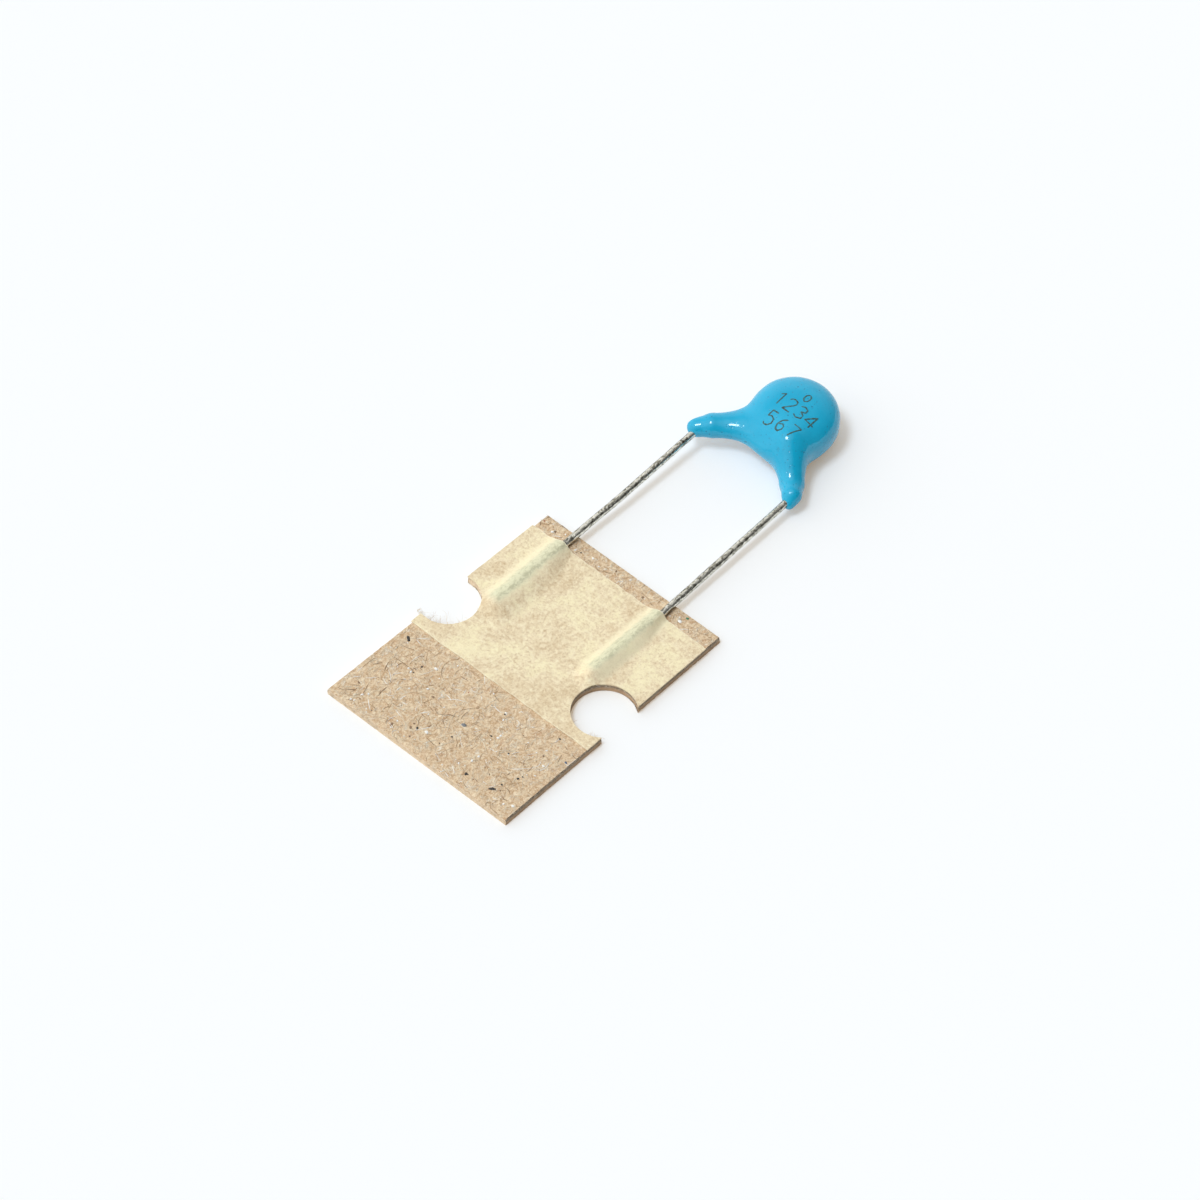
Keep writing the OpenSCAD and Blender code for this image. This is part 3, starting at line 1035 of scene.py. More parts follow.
    def skin(self) -> np.ndarray:
        """Returns the skin's lattice: each row runs over the skin from above its foot to below."""
        feet, turn = self.columns_of()
        even = np.linspace(1, -1, self.samples)
        tilt = math.pi / 2 * np.sign(even) * np.abs(even) ** self.rim_crowding
        turns, tilts = np.meshgrid(turn, tilt, indexing="ij")
        foot = np.broadcast_to(feet[:, None], (*turns.shape, 3))
        curves = self.ray_points(foot, turns, tilts, self.reach_to_skin(foot, turns, tilts))
        lattice = self.even_spacing(curves, self.rows)
        peel = Relief(11, 0.9).at(lattice) + 0.5 * Relief(12, 0.4).at(lattice)
        lattice += self.outward(lattice) * (self.orange_peel * peel)[..., None]
        lattice[..., 2] = np.maximum(lattice[..., 2], 0.0)
        return lattice

    def top_of(self, plan: np.ndarray) -> np.ndarray:
        """Returns the height of the skin's upper side over points of a plan, found by halving."""

        def within(level: np.ndarray) -> np.ndarray:
            """Returns whether the points at their levels are under the skin."""
            return self.depth(np.concatenate([plan, level[..., None]], axis=-1)) < 0

        low = np.full(plan.shape[:-1], self.centre[2])
        return halved(within, low, low + self.headroom, rounds=26)

    def build(self) -> None:
        """Makes the skin in place of the CAD coat."""
        skin = self.skin().transpose(1, 0, 2)
        worn = np.zeros(skin.shape[:2])
        for x, y, reach in self.scuffs:
            away = np.hypot(skin[..., 0] - x, skin[..., 1] - y)
            worn = np.maximum(worn, 1 - smoothstep(0.4 * reach, reach, away))
        worn *= skin[..., 2] > self.centre[2]
        made = lattice_object("coat_skin", skin, wrap=True, fields={"scuffed": worn})
        hand_over(made, GlossCoat().build(), ("coating",))


class Glyph(Enum):
    """Plain digits as strokes in a box one unit high and about two thirds wide."""

    ZERO = (
        (
            (0.33, 1.0), (0.1, 0.8), (0.04, 0.5), (0.1, 0.2), (0.33, 0.0), (0.56, 0.2), (0.62, 0.5),
            (0.56, 0.8), (0.33, 1.0),
        ),
    )
    ONE = (((0.14, 0.78), (0.4, 1.0), (0.4, 0.0)),)
    TWO = (
        (
            (0.04, 0.78), (0.14, 0.95), (0.34, 1.0), (0.55, 0.93), (0.6, 0.74), (0.5, 0.54),
            (0.04, 0.0), (0.64, 0.0),
        ),
    )
    THREE = (
        (
            (0.05, 0.86), (0.3, 1.0), (0.56, 0.9), (0.58, 0.66), (0.3, 0.54), (0.6, 0.4),
            (0.6, 0.14), (0.3, 0.0), (0.03, 0.13),
        ),
    )
    FOUR = (((0.48, 0.0), (0.48, 1.0), (0.0, 0.3), (0.66, 0.3)),)
    FIVE = (
        (
            (0.58, 1.0), (0.12, 1.0), (0.07, 0.56), (0.32, 0.63), (0.57, 0.5), (0.6, 0.22),
            (0.4, 0.02), (0.16, 0.0), (0.02, 0.12),
        ),
    )
    SIX = (
        (
            (0.5, 0.98), (0.2, 0.75), (0.06, 0.4), (0.14, 0.08), (0.38, 0.0), (0.58, 0.16),
            (0.58, 0.4), (0.38, 0.53), (0.12, 0.42),
        ),
    )
    SEVEN = (((0.03, 1.0), (0.62, 1.0), (0.26, 0.0)),)


@dataclass
class StampRow:
    """One row of plain digits: where its first digit stands and how large it is."""

    glyphs: tuple[Glyph, ...]
    start: Pair
    height: float
    pitch: float
    turn_deg: float


@dataclass
class Stamp:
    """Plain counting digits, stamped on the upper face as thin ribbons of ink."""

    rows: tuple[StampRow, ...] = (
        StampRow((Glyph.ZERO,), (0.37, 24.39), 0.64, 0.8, 0.5),
        StampRow((Glyph.ONE, Glyph.TWO, Glyph.THREE, Glyph.FOUR), (-0.95, 23.15), 0.97, 0.81, 0.5),
        StampRow((Glyph.FIVE, Glyph.SIX, Glyph.SEVEN), (-0.48, 21.77), 0.95, 0.87, 0.5),
    )
    stroke: float = 0.115
    uneven: float = 0.16
    lift: float = 0.012
    sink: float = 0.012
    spacing: float = 0.03

    def stroke_paths(self) -> list[np.ndarray]:
        """Returns the middle line of each stroke in plan, evenly spaced."""
        paths = []
        for row in self.rows:
            turn = math.radians(row.turn_deg)
            spin = np.array([[math.cos(turn), -math.sin(turn)], [math.sin(turn), math.cos(turn)]])
            for place, glyph in enumerate(row.glyphs):
                for stroke in glyph.value:
                    corners = np.array(stroke) * row.height + np.array([place * row.pitch, 0.0])
                    corners = corners @ spin.T + np.array(row.start)
                    length = run_along(corners)[-1]
                    marks = np.linspace(0, length, max(3, int(length / self.spacing)))
                    paths.append(points_at(marks, corners))
        return paths

    def ribbon(self, path: np.ndarray, coat: Coat, wobble: Relief) -> np.ndarray:
        """Returns one stroke's lattice.

        Across the stroke, the section is a low arch that stands on the skin and dips under it at
        both edges; the width tapers to nothing at the ends.
        """
        tangent = unit(np.gradient(path, axis=0))
        square = np.stack([-tangent[:, 1], tangent[:, 0]], axis=-1)
        ends = np.linspace(0, 1, len(path))
        total = len(path) * self.spacing
        near_end = np.minimum(ends, 1 - ends) * total
        taper = np.sqrt(np.clip(near_end / (self.stroke / 2), 0.02, 1.0))
        flat3 = np.concatenate([path, np.zeros((len(path), 1))], axis=1)
        width = self.stroke / 2 * taper * (1 + self.uneven * wobble.at(flat3))
        across = np.linspace(-1, 1, 7)
        plan = path[:, None] + square[:, None] * (width[:, None] * across)[..., None]
        top = coat.top_of(plan)
        arch = (1 - across**2) * self.lift * taper[:, None] - self.sink * (np.abs(across) == 1)
        upper = np.concatenate([plan, (top + arch)[..., None]], axis=-1)
        under = upper[:, ::-1].copy()
        under[..., 2] = top[:, ::-1] - 2 * self.sink
        return np.concatenate([upper, under], axis=1)

    def build(self, coat: Coat) -> None:
        """Makes the marking as one piece that lies on the coat.

        Args:
            coat: The coat that the ink lies on.
        """
        wobble = Relief(31, 0.25)
        points, triangles, base = [], [], 0
        for path in self.stroke_paths():
            strip = self.ribbon(path, coat, wobble)
            first = np.broadcast_to(strip[:1].mean(axis=1, keepdims=True), strip[:1].shape)
            last = np.broadcast_to(strip[-1:].mean(axis=1, keepdims=True), strip[-1:].shape)
            strip = np.concatenate([first, strip, last])
            cell = lattice_triangles(*strip.shape[:2], True)
            flat, joined, _ = weld(strip.reshape(-1, 3), cell)
            points.append(flat)
            triangles.append(joined + base)
            base += len(flat)
        made = make_mesh("stamped_digits", np.concatenate(points), np.concatenate(triangles))
        hand_over(made, StampInk().build())


WIRE_ROUTES: dict[Side, tuple[Triple, ...]] = {
    Side.LEFT: (
        (-3.93, 2.02, WIRE_Z),
        (-3.93, 8.02, WIRE_Z),
        (-3.763, 13.0, 1.085),
        (-3.70, 20.02, 1.56),
        (-1.554, 22.165, 2.40),
        (0.508, 24.309, 2.50),
    ),
    Side.RIGHT: (
        (3.93, 2.02, WIRE_Z),
        (3.93, 8.02, WIRE_Z),
        (3.855, 14.0, 0.917),
        (3.78, 20.02, 1.09),
        (1.77, 22.166, 0.774),
        (-0.193, 24.392, 0.986),
    ),
}


@dataclass
class Lead:
    """A tinned wire along the same route as its CAD solid, with the tin's slight lumps."""

    side: Side
    radius: float = WIRE_R
    tin_set_back: float = 0.003
    broad_lumps: float = 0.0035
    fine_lumps: float = 0.0045
    bends: tuple[float, ...] = (3.0, 20.0, 0.6, 0.6)
    sides: int = 30
    spacing: float = 0.06

    def path(self) -> np.ndarray:
        """Returns the centre line: straights joined by arcs, with points evenly spaced.

        An arc of radius r at a corner that turns by angle a starts r * tan(a / 2) before it.
        """
        points = np.array(WIRE_ROUTES[self.side])
        legs = unit(np.diff(points, axis=0))
        pieces = [points[:1]]
        for corner in range(1, len(points) - 1):
            before, after = legs[corner - 1], legs[corner]
            angle = math.acos(float(np.clip(before @ after, -1, 1)))
            bend = self.bends[corner - 1]
            inward = unit(after - before)
            centre = points[corner] + inward * bend / math.cos(angle / 2)
            out = points[corner] - before * bend * math.tan(angle / 2) - centre
            turn = np.linspace(0, angle, 12)[:, None]
            pieces.append(centre + np.cos(turn) * out + np.sin(turn) * before * bend)
        pieces.append(points[-1:])
        rough = np.concatenate(pieces)
        length = run_along(rough)[-1]
        return points_at(np.linspace(0, length, int(length / self.spacing)), rough)

    def build(self) -> None:
        """Makes the wire in place of its CAD node."""
        name = f"lead_{self.side.name.lower()}"
        path = self.path()[None]
        smooth, _ = swept_tubes(path, np.full(path.shape[:2], self.radius), self.sides)
        place = smooth[:, 1:-1] * np.array([1.0, 0.4, 1.0])
        lumps = self.broad_lumps * Relief(41 + self.side.value, 0.5).at(place)
        lumps += self.fine_lumps * Relief(51 + self.side.value, 0.2).at(place)
        points, cell = swept_tubes(path, self.radius - self.tin_set_back + lumps, self.sides)
        flat, triangles, _ = weld(points.reshape(-1, 3), cell)
        made = make_mesh(f"{name}_wire", flat, triangles)
        hand_over(made, TinnedWire().build(), (name,))


@dataclass
class StripPlan:
    """Plan of the cut strip: two cut ends, each with half a feed hole.

    The strip is covered by rows that run from the left end to the right end. The right-hand
    hole is cut past its widest point, so rows close to it follow its curve out to the lips.
    """

    half_w: float = 9.25
    left: float = -6.64
    left_lean: float = 0.0253
    right: float = 7.53
    hole_x: float = 6.3
    hole_y: float = 0.5
    hole_r: float = 2.0
    left_lip: float = 1.9726
    follow: float = 0.75

    def rows(self, low: float, high: float, spacing: float) -> tuple[np.ndarray, np.ndarray]:
        """Returns each row's Y on the middle of the strip and the furthest X that it reaches.

        Args:
            low: Y of the nearest row.
            high: Y of the furthest row.
            spacing: Spacing of plain rows.

        Returns:
            Y and furthest X, ordered from near to far. Rows that touch a hole's rim come
            several times, each reaching a little less far round the rim.
        """
        even = np.linspace(low, high, int((high - low) / spacing) + 1)
        near = np.geomspace(0.0006, 0.12, 12)
        close = np.concatenate([near, -near])
        marks = [even]
        for side in (-1.0, 1.0):
            marks.append(self.hole_y + side * (self.hole_r + close))
            marks.append(self.hole_y + side * (self.left_lip + close))
        y = np.unique(np.round(np.concatenate(marks), 5))
        rim = self.hole_r
        y = y[(y >= low) & (y <= high) & (np.abs(np.abs(y - self.hole_y) - rim) > 3e-4)]
        inside = np.abs(y - self.hole_y) < rim
        deep = np.sqrt(np.clip(rim**2 - (y - self.hole_y) ** 2, 0.0, None))
        stop = np.where(inside, self.hole_x - deep, self.right)
        lip = math.asin((self.right - self.hole_x) / rim)
        arc = self.hole_x + rim * np.sin(np.linspace(lip, 0.0, 14))
        first, last = self.hole_y - rim, self.hole_y + rim
        below, between, above = y < first, (y > first) & (y < last), y > last
        return (
            np.concatenate([y[below], 0 * arc + first, y[between], 0 * arc + last, y[above]]),
            np.concatenate([stop[below], arc, stop[between], arc[::-1], stop[above]]),
        )

    def place(self, y: np.ndarray, stop: np.ndarray, share: np.ndarray) -> np.ndarray:
        """Returns plan points of shape (rows, columns, 2).

        A row goes straight across as far as the hole's centre. From there it bends towards the
        hole by r - sqrt(r^2 - dx^2), which is the hole's own curve for the row that touches it,
        and the bend fades out over the rows further off.
        """
        cut = self.left + self.left_lean * y
        away = y - self.hole_y
        deep = np.sqrt(np.clip(self.hole_r**2 - away**2, 0.0, None))
        left = np.where(np.abs(away) < self.left_lip, np.maximum(cut, deep - self.hole_x), cut)
        full = cut[:, None] + (self.right - cut)[:, None] * share
        x = np.clip(full, left[:, None], stop[:, None])
        r = np.abs(away)[:, None]
        past = np.clip(x - self.hole_x, 0.0, None)
        bend = r - np.sqrt(np.clip(r**2 - past**2, 0.0, None))
        fade = 1 - smoothstep(self.hole_r, self.hole_r + self.follow, r)
        bend = np.where(r > self.hole_r - 1e-6, bend * fade, 0.0)
        return np.stack([x, y[:, None] - np.sign(away)[:, None] * bend], axis=-1)

    def inward(self, plan: np.ndarray) -> np.ndarray:
        """Returns the direction into the strip for plan points that lie on its outline."""
        side = np.sign(plan[..., :1])
        centre = np.concatenate([side * self.hole_x, 0 * side + self.hole_y], axis=-1)
        out = plan - centre
        reach = np.linalg.norm(out, axis=-1, keepdims=True)
        straight = np.concatenate([-side, 0 * side], axis=-1)
        return np.where(reach < self.hole_r + 0.002, out / np.maximum(reach, 1e-9), straight)


@dataclass
class CardStrip:
    """The card, as sections across the strip carried from its near edge to its far edge."""

    plan: StripPlan
    thickness: float = CARD_T
    across: int = 200
    back_across: int = 24
    wall_steps: int = 8
    spacing: float = 0.085
    edge_round: float = 0.05
    wall_set_back: float = 0.008
    wall_torn: float = 0.022
    side_drop: float = 0.03
    end_drop: float = 0.05
    end_reach: float = 0.14

    @staticmethod
    def raggedness(points: np.ndarray) -> np.ndarray:
        """Returns how deep the torn fibres of a cut face are at points on it, from 0 to about 1."""
        squeezed = points * [1, 1, 2.5]
        return np.abs(Relief(63, 0.3).at(squeezed) + 0.7 * Relief(64, 0.11).at(squeezed))

    def build(self) -> None:
        """Makes the card in place of its CAD node.

        Each section runs up the left wall, across the top, down the right wall and back. Walls
        are set back by their raggedness, and both edges of the top are rounded off.
        """
        y, stop = self.plan.rows(-self.plan.half_w, self.plan.half_w, self.spacing)
        up = np.linspace(0, 1, self.wall_steps)
        over = np.linspace(0, 1, self.across)[1:-1]
        back = np.linspace(0, 1, self.back_across + 2)[-2:0:-1]
        share = np.concatenate([0 * up, over, 0 * up + 1, back])
        level = np.concatenate([up, 0 * over + 1, up[::-1], 0 * back])
        wall = np.concatenate([0 * up + 1, 0 * over, 0 * up + 1, 0 * back])
        plan = self.plan.place(y, stop, share)
        z = self.thickness * level[None] + 0 * plan[..., 0]
        lattice = np.concatenate([plan, z[..., None]], axis=-1)
        top = np.broadcast_to((level > 0.99)[None], z.shape)
        walls = np.broadcast_to(wall[None], z.shape)
        torn = self.wall_set_back + self.wall_torn * self.raggedness(lattice)
        set_back = walls * (torn + self.edge_round * level[None] ** 6)
        lattice[..., :2] += self.plan.inward(plan) * set_back[..., None]
        fibre = 0.006 * Relief(61, 0.5).at(lattice) + 0.005 * Relief(62, 0.22).at(lattice)
        ends = self.plan.half_w - np.abs(lattice[..., 1])
        end_drop = self.end_drop * (1 - smoothstep(0.0, self.end_reach, ends))
        lattice[..., 2] += top * (fibre - self.side_drop * walls - end_drop)
        # Walls on the right-hand side are marked to take painted shade.
        dark = walls * (lattice[..., 0] > 0)
        rims = [self.end_rows(lattice[:1], 1.0), self.end_rows(lattice[-1:], -1.0)[::-1]]
        whole = np.concatenate([rims[0], lattice, rims[1]])
        blank = np.ones((len(rims[0]), z.shape[1]))
        cut = np.concatenate([blank, walls, blank])
        shade = np.concatenate([0 * blank, dark, 0 * blank])
        made = lattice_object("card_strip", whole, True, {"cut": cut, "shade": shade}, 48)
        hand_over(made, RawCard().build(), ("carrier_board",))

    def end_rows(self, rim: np.ndarray, inward: float) -> np.ndarray:
        """Returns rows that close an end of the strip, from its middle line out to its rim."""
        line = rim.copy()
        line[..., 2] = self.thickness / 2
        made = np.concatenate([line * (1 - s) + rim * s for s in (0.0, 0.3, 0.6, 0.85)])
        made[..., 1] += inward * (0.006 + 0.014 * self.raggedness(made))
        return made


@dataclass
class Tent:
    """How the tape rises over one wire: its crest and the run-out on each side."""

    x: float
    left_run: float
    right_run: float


@dataclass
class TapeSheet:
    """The crepe tape: it lies on the card and rises in a tent over each wire."""

    plan: StripPlan
    card_t: float = CARD_T
    tape_t: float = 0.085
    glue_t: float = 0.012
    near_y: float = -2.28
    far_y: float = 8.02
    wire_z: float = WIRE_Z
    wire_r: float = WIRE_R
    wire_end: float = 2.02
    fade: Pair = (-1.3, 0.05)
    across: int = 250
    spacing: float = 0.06
    tents: tuple[Tent, ...] = (Tent(-3.93, 1.35, 0.95), Tent(3.93, 1.15, 0.55))

    def lift(self, plan: np.ndarray) -> np.ndarray:
        """Returns how far the tape's underside stands over the card at plan points.

        Each tent falls from its crest as a smooth step to each side, wider on the right away from
        the sheet's far edge, and never lies inside its wire. Past the buried end of the wire it
        fades over more than a millimetre.
        """
        x, y = plan[..., 0], plan[..., 1]
        total = 0 * x
        crest = self.wire_z + self.wire_r - self.card_t
        for tent in self.tents:
            off = x - tent.x
            wider = 1 + 0.9 * (1 - smoothstep(5.6, 7.9, y))
            run = np.where(off < 0, tent.left_run, tent.right_run * wider)
            slope = crest * (1 - smoothstep(0.0, 1.0, np.abs(off) / run)) ** 1.15
            over = self.wire_z - self.card_t + np.sqrt(np.clip(self.wire_r**2 - off**2, 0, None))
            over = np.where(np.abs(off) < self.wire_r, over, 0.0)
            fade = smoothstep(self.wire_end + self.fade[0], self.wire_end + self.fade[1], y)
            total = np.maximum(total, np.maximum(slope, over) * fade)
        return total

    def build(self) -> None:
        """Makes the tape in place of its CAD node."""
        y, stop = self.plan.rows(self.near_y, self.far_y, self.spacing)
        plan = self.plan.place(y, stop, np.linspace(0, 1, self.across))
        flat = np.concatenate([plan, 0 * plan[..., :1]], axis=-1)
        puff = 0.008 * (Relief(71, 1.6).at(flat) + 1)
        puff += 0.004 * Relief(72, 0.45).at(flat * [1, 1.6, 1])
        under = self.card_t + self.glue_t + self.lift(plan)
        upper = under + self.tape_t + puff
        top = np.concatenate([plan, upper[..., None]], axis=-1)
        low = np.concatenate([plan, np.minimum(under, upper - 0.02)[..., None]], axis=-1)
        loop = np.concatenate([top, low[:, ::-1]], axis=1)
        middle = (loop + np.concatenate([low, top[:, ::-1]], axis=1)) / 2
        whole = np.concatenate([middle[:1], loop, middle[-1:]])
        edge = 0.02 * Relief(73, 0.8).at(whole) + 0.01 * Relief(74, 0.2).at(whole)
        from_near, from_far = whole[..., 1] - self.near_y, self.far_y - whole[..., 1]
        whole[..., 1] += edge * (1 - smoothstep(0.0, 0.5, np.minimum(from_near, from_far)))
        cut = 0 * whole[..., 0]
        cut[:2], cut[-2:] = 1.0, 1.0
        made = lattice_object("tape_sheet", whole, True, {"cut": cut}, 60)
        hand_over(made, CrepeTape().build(), ("adhesive_tape",))


class Tint(Enum):
    """Colours of the fibres and specks in the card."""

    PALE = (0.78, 0.68, 0.52)
    WHITE = (0.93, 0.92, 0.88)
    TAN = (0.50, 0.34, 0.20)
    BROWN = (0.30, 0.19, 0.11)
    DARK = (0.05, 0.045, 0.04)
    GREY = (0.22, 0.23, 0.24)
    RED = (0.35, 0.07, 0.04)
    GREEN = (0.05, 0.22, 0.12)
    BLUE = (0.08, 0.12, 0.2)


def drawn_tints(draw: np.random.Generator, count: int, shares: dict[Tint, float]) -> list[Tint]:
    """Returns tints drawn at random, each as often as its share says."""
    tints = list(shares)
    return [tints[k] for k in draw.choice(len(tints), count, p=list(shares.values()))]


@dataclass(frozen=True)
class OpenFace:
    """The card's bare face on both sides of the tape, over which loose bits are scattered."""

    near: Pair
    far: Pair
    across: Pair
    near_share: float = 0.86

    def places(self, draw: np.random.Generator, count: int) -> tuple[np.ndarray, np.ndarray]:
        """Returns X and Y of places drawn over the face, most of them on its near part."""
        near = draw.uniform(size=count) < self.near_share
        y = np.where(near, draw.uniform(*self.near, count), draw.uniform(*self.far, count))
        return draw.uniform(*self.across, count), y


@dataclass(frozen=True)
class Tuft:
    """Hairs on a stretch of a feed hole's rim, spread evenly to both sides of its middle."""

    side: Side
    middle_deg: float
    spread_deg: float
    count: int
    reach: float


@dataclass
class Fibres:
    """Loose fibres: short curved hairs that lie in the card or stand out of its torn edges."""

    plan: StripPlan
    face: OpenFace = OpenFace((-9.1, -2.5), (8.2, 9.1), (-6.5, 7.3))
    kept_within: tuple[Pair, Pair] = ((-6.45, 7.45), (-9.2, 9.2))
    lying: int = 760
    stations: int = 9
    sides: int = 5
    card_t: float = CARD_T
    tufts: tuple[Tuft, ...] = (
        Tuft(Side.LEFT, -38.0, 20.0, 26, 0.45),
        Tuft(Side.LEFT, -78.0, 22.0, 46, 0.40),
        Tuft(Side.LEFT, -108.0, 8.0, 26, 0.30),
        Tuft(Side.LEFT, 20.0, 40.0, 12, 0.22),
        Tuft(Side.RIGHT, 232.0, 14.0, 10, 0.16),
        Tuft(Side.RIGHT, 291.0, 9.0, 34, 0.26),
        Tuft(Side.RIGHT, 150.0, 40.0, 10, 0.14),
    )

    def curl(
        self, start: np.ndarray, heading: np.ndarray, length: np.ndarray, bend: np.ndarray
    ) -> np.ndarray:
        """Returns curved paths in plan: the heading turns evenly by bend along the length."""
        t = np.linspace(0, 1, self.stations)[None]
        angle = heading[:, None] + bend[:, None] * t
        step = length[:, None] / (self.stations - 1)
        x = start[:, :1] + np.cumsum(np.cos(angle) * step, axis=1)
        y = start[:, 1:2] + np.cumsum(np.sin(angle) * step, axis=1)
        return np.stack([x, y], axis=-1)

    def on_card(self) -> None:
        """Makes the hairs that lie in the card's open face."""
        draw = np.random.default_rng(81)
        n = self.lying
        start = np.stack(self.face.places(draw, n), axis=-1)
        length = draw.gamma(3.0, 0.16, n) + 0.15
        heading, bend = draw.uniform(0, 2 * math.pi, n), draw.normal(0, 1.1, n)
        paths = self.curl(start, heading, length, bend)
        t = np.linspace(-1, 1, self.stations)
        z = self.card_t - 0.004 + 0.014 * (1 - t**2)[None] * draw.uniform(0.3, 1.0, (n, 1))
        x, y = (np.clip(paths[..., k], *self.kept_within[k]) for k in (0, 1))
        whole = np.stack([x, y, z], axis=-1)
        thick = draw.uniform(0.010, 0.027, (n, 1)) * np.sqrt(np.clip(1 - t**2, 0.08, 1))[None]
        shares = {Tint.PALE: 0.46, Tint.WHITE: 0.1, Tint.TAN: 0.32, Tint.BROWN: 0.12}
        tints = np.array([tint.value for tint in drawn_tints(draw, n, shares)])
        made = tubes_object("card_fibres", whole, thick, self.sides, {"tint": tints})
        hand_over(made, LooseBits().build())

    def on_edges(self) -> None:
        """Makes the hairs that stand out of the feed holes' torn rims."""
        draw = np.random.default_rng(82)
        starts, outs, lengths = [], [], []
        for tuft in self.tufts:
            middle, spread, count = tuft.middle_deg, tuft.spread_deg, tuft.count
            angle = np.radians(draw.uniform(middle - spread, middle + spread, count))
            hole = np.array([tuft.side.value * self.plan.hole_x, self.plan.hole_y])
            rim = np.stack([np.cos(angle), np.sin(angle)], axis=-1)
            level = draw.uniform(0.28, 0.6, (count, 1))
            starts.append(np.concatenate([hole + rim * (self.plan.hole_r + 0.03), level], axis=1))
            aim = np.concatenate([-rim, draw.normal(0.25, 0.35, (count, 1))], axis=1)
            outs.append(unit(aim + draw.normal(0, 0.45, (count, 3))))
            lengths.append(tuft.reach * draw.gamma(4.0, 0.25, count))
        start, out, length = np.concatenate(starts), np.concatenate(outs), np.concatenate(lengths)
        n = len(start)
        t = np.linspace(0, 1, self.stations)[None, :, None]
        swirl = np.cross(out, unit(draw.normal(size=(n, 3))))[:, None]
        wave = np.sin(5 * t + start[:, None, :1] * 9)
        shape = out[:, None] * t + 0.45 * swirl * t**2 + 0.15 * wave * swirl
        paths = start[:, None] + length[:, None, None] * shape
        paths[..., 2] = np.clip(paths[..., 2], 0.03, 0.95)
        thick = draw.uniform(0.006, 0.013, (n, 1)) * (1 - 0.6 * t[:, :, 0])
        shares = {Tint.WHITE: 0.55, Tint.PALE: 0.3, Tint.TAN: 0.15}
        tints = np.array([tint.value for tint in drawn_tints(draw, n, shares)])
        made = tubes_object("torn_fibres", paths, thick, self.sides, {"tint": tints})
        hand_over(made, LooseBits().build())


@dataclass
class Fleck:
    """A speck in the card: its place, size, tint and how long it is for its width."""

    x: float
    y: float
    size: float
    tint: Tint
    stretch: float = 1.0
    turn_deg: float = 0.0


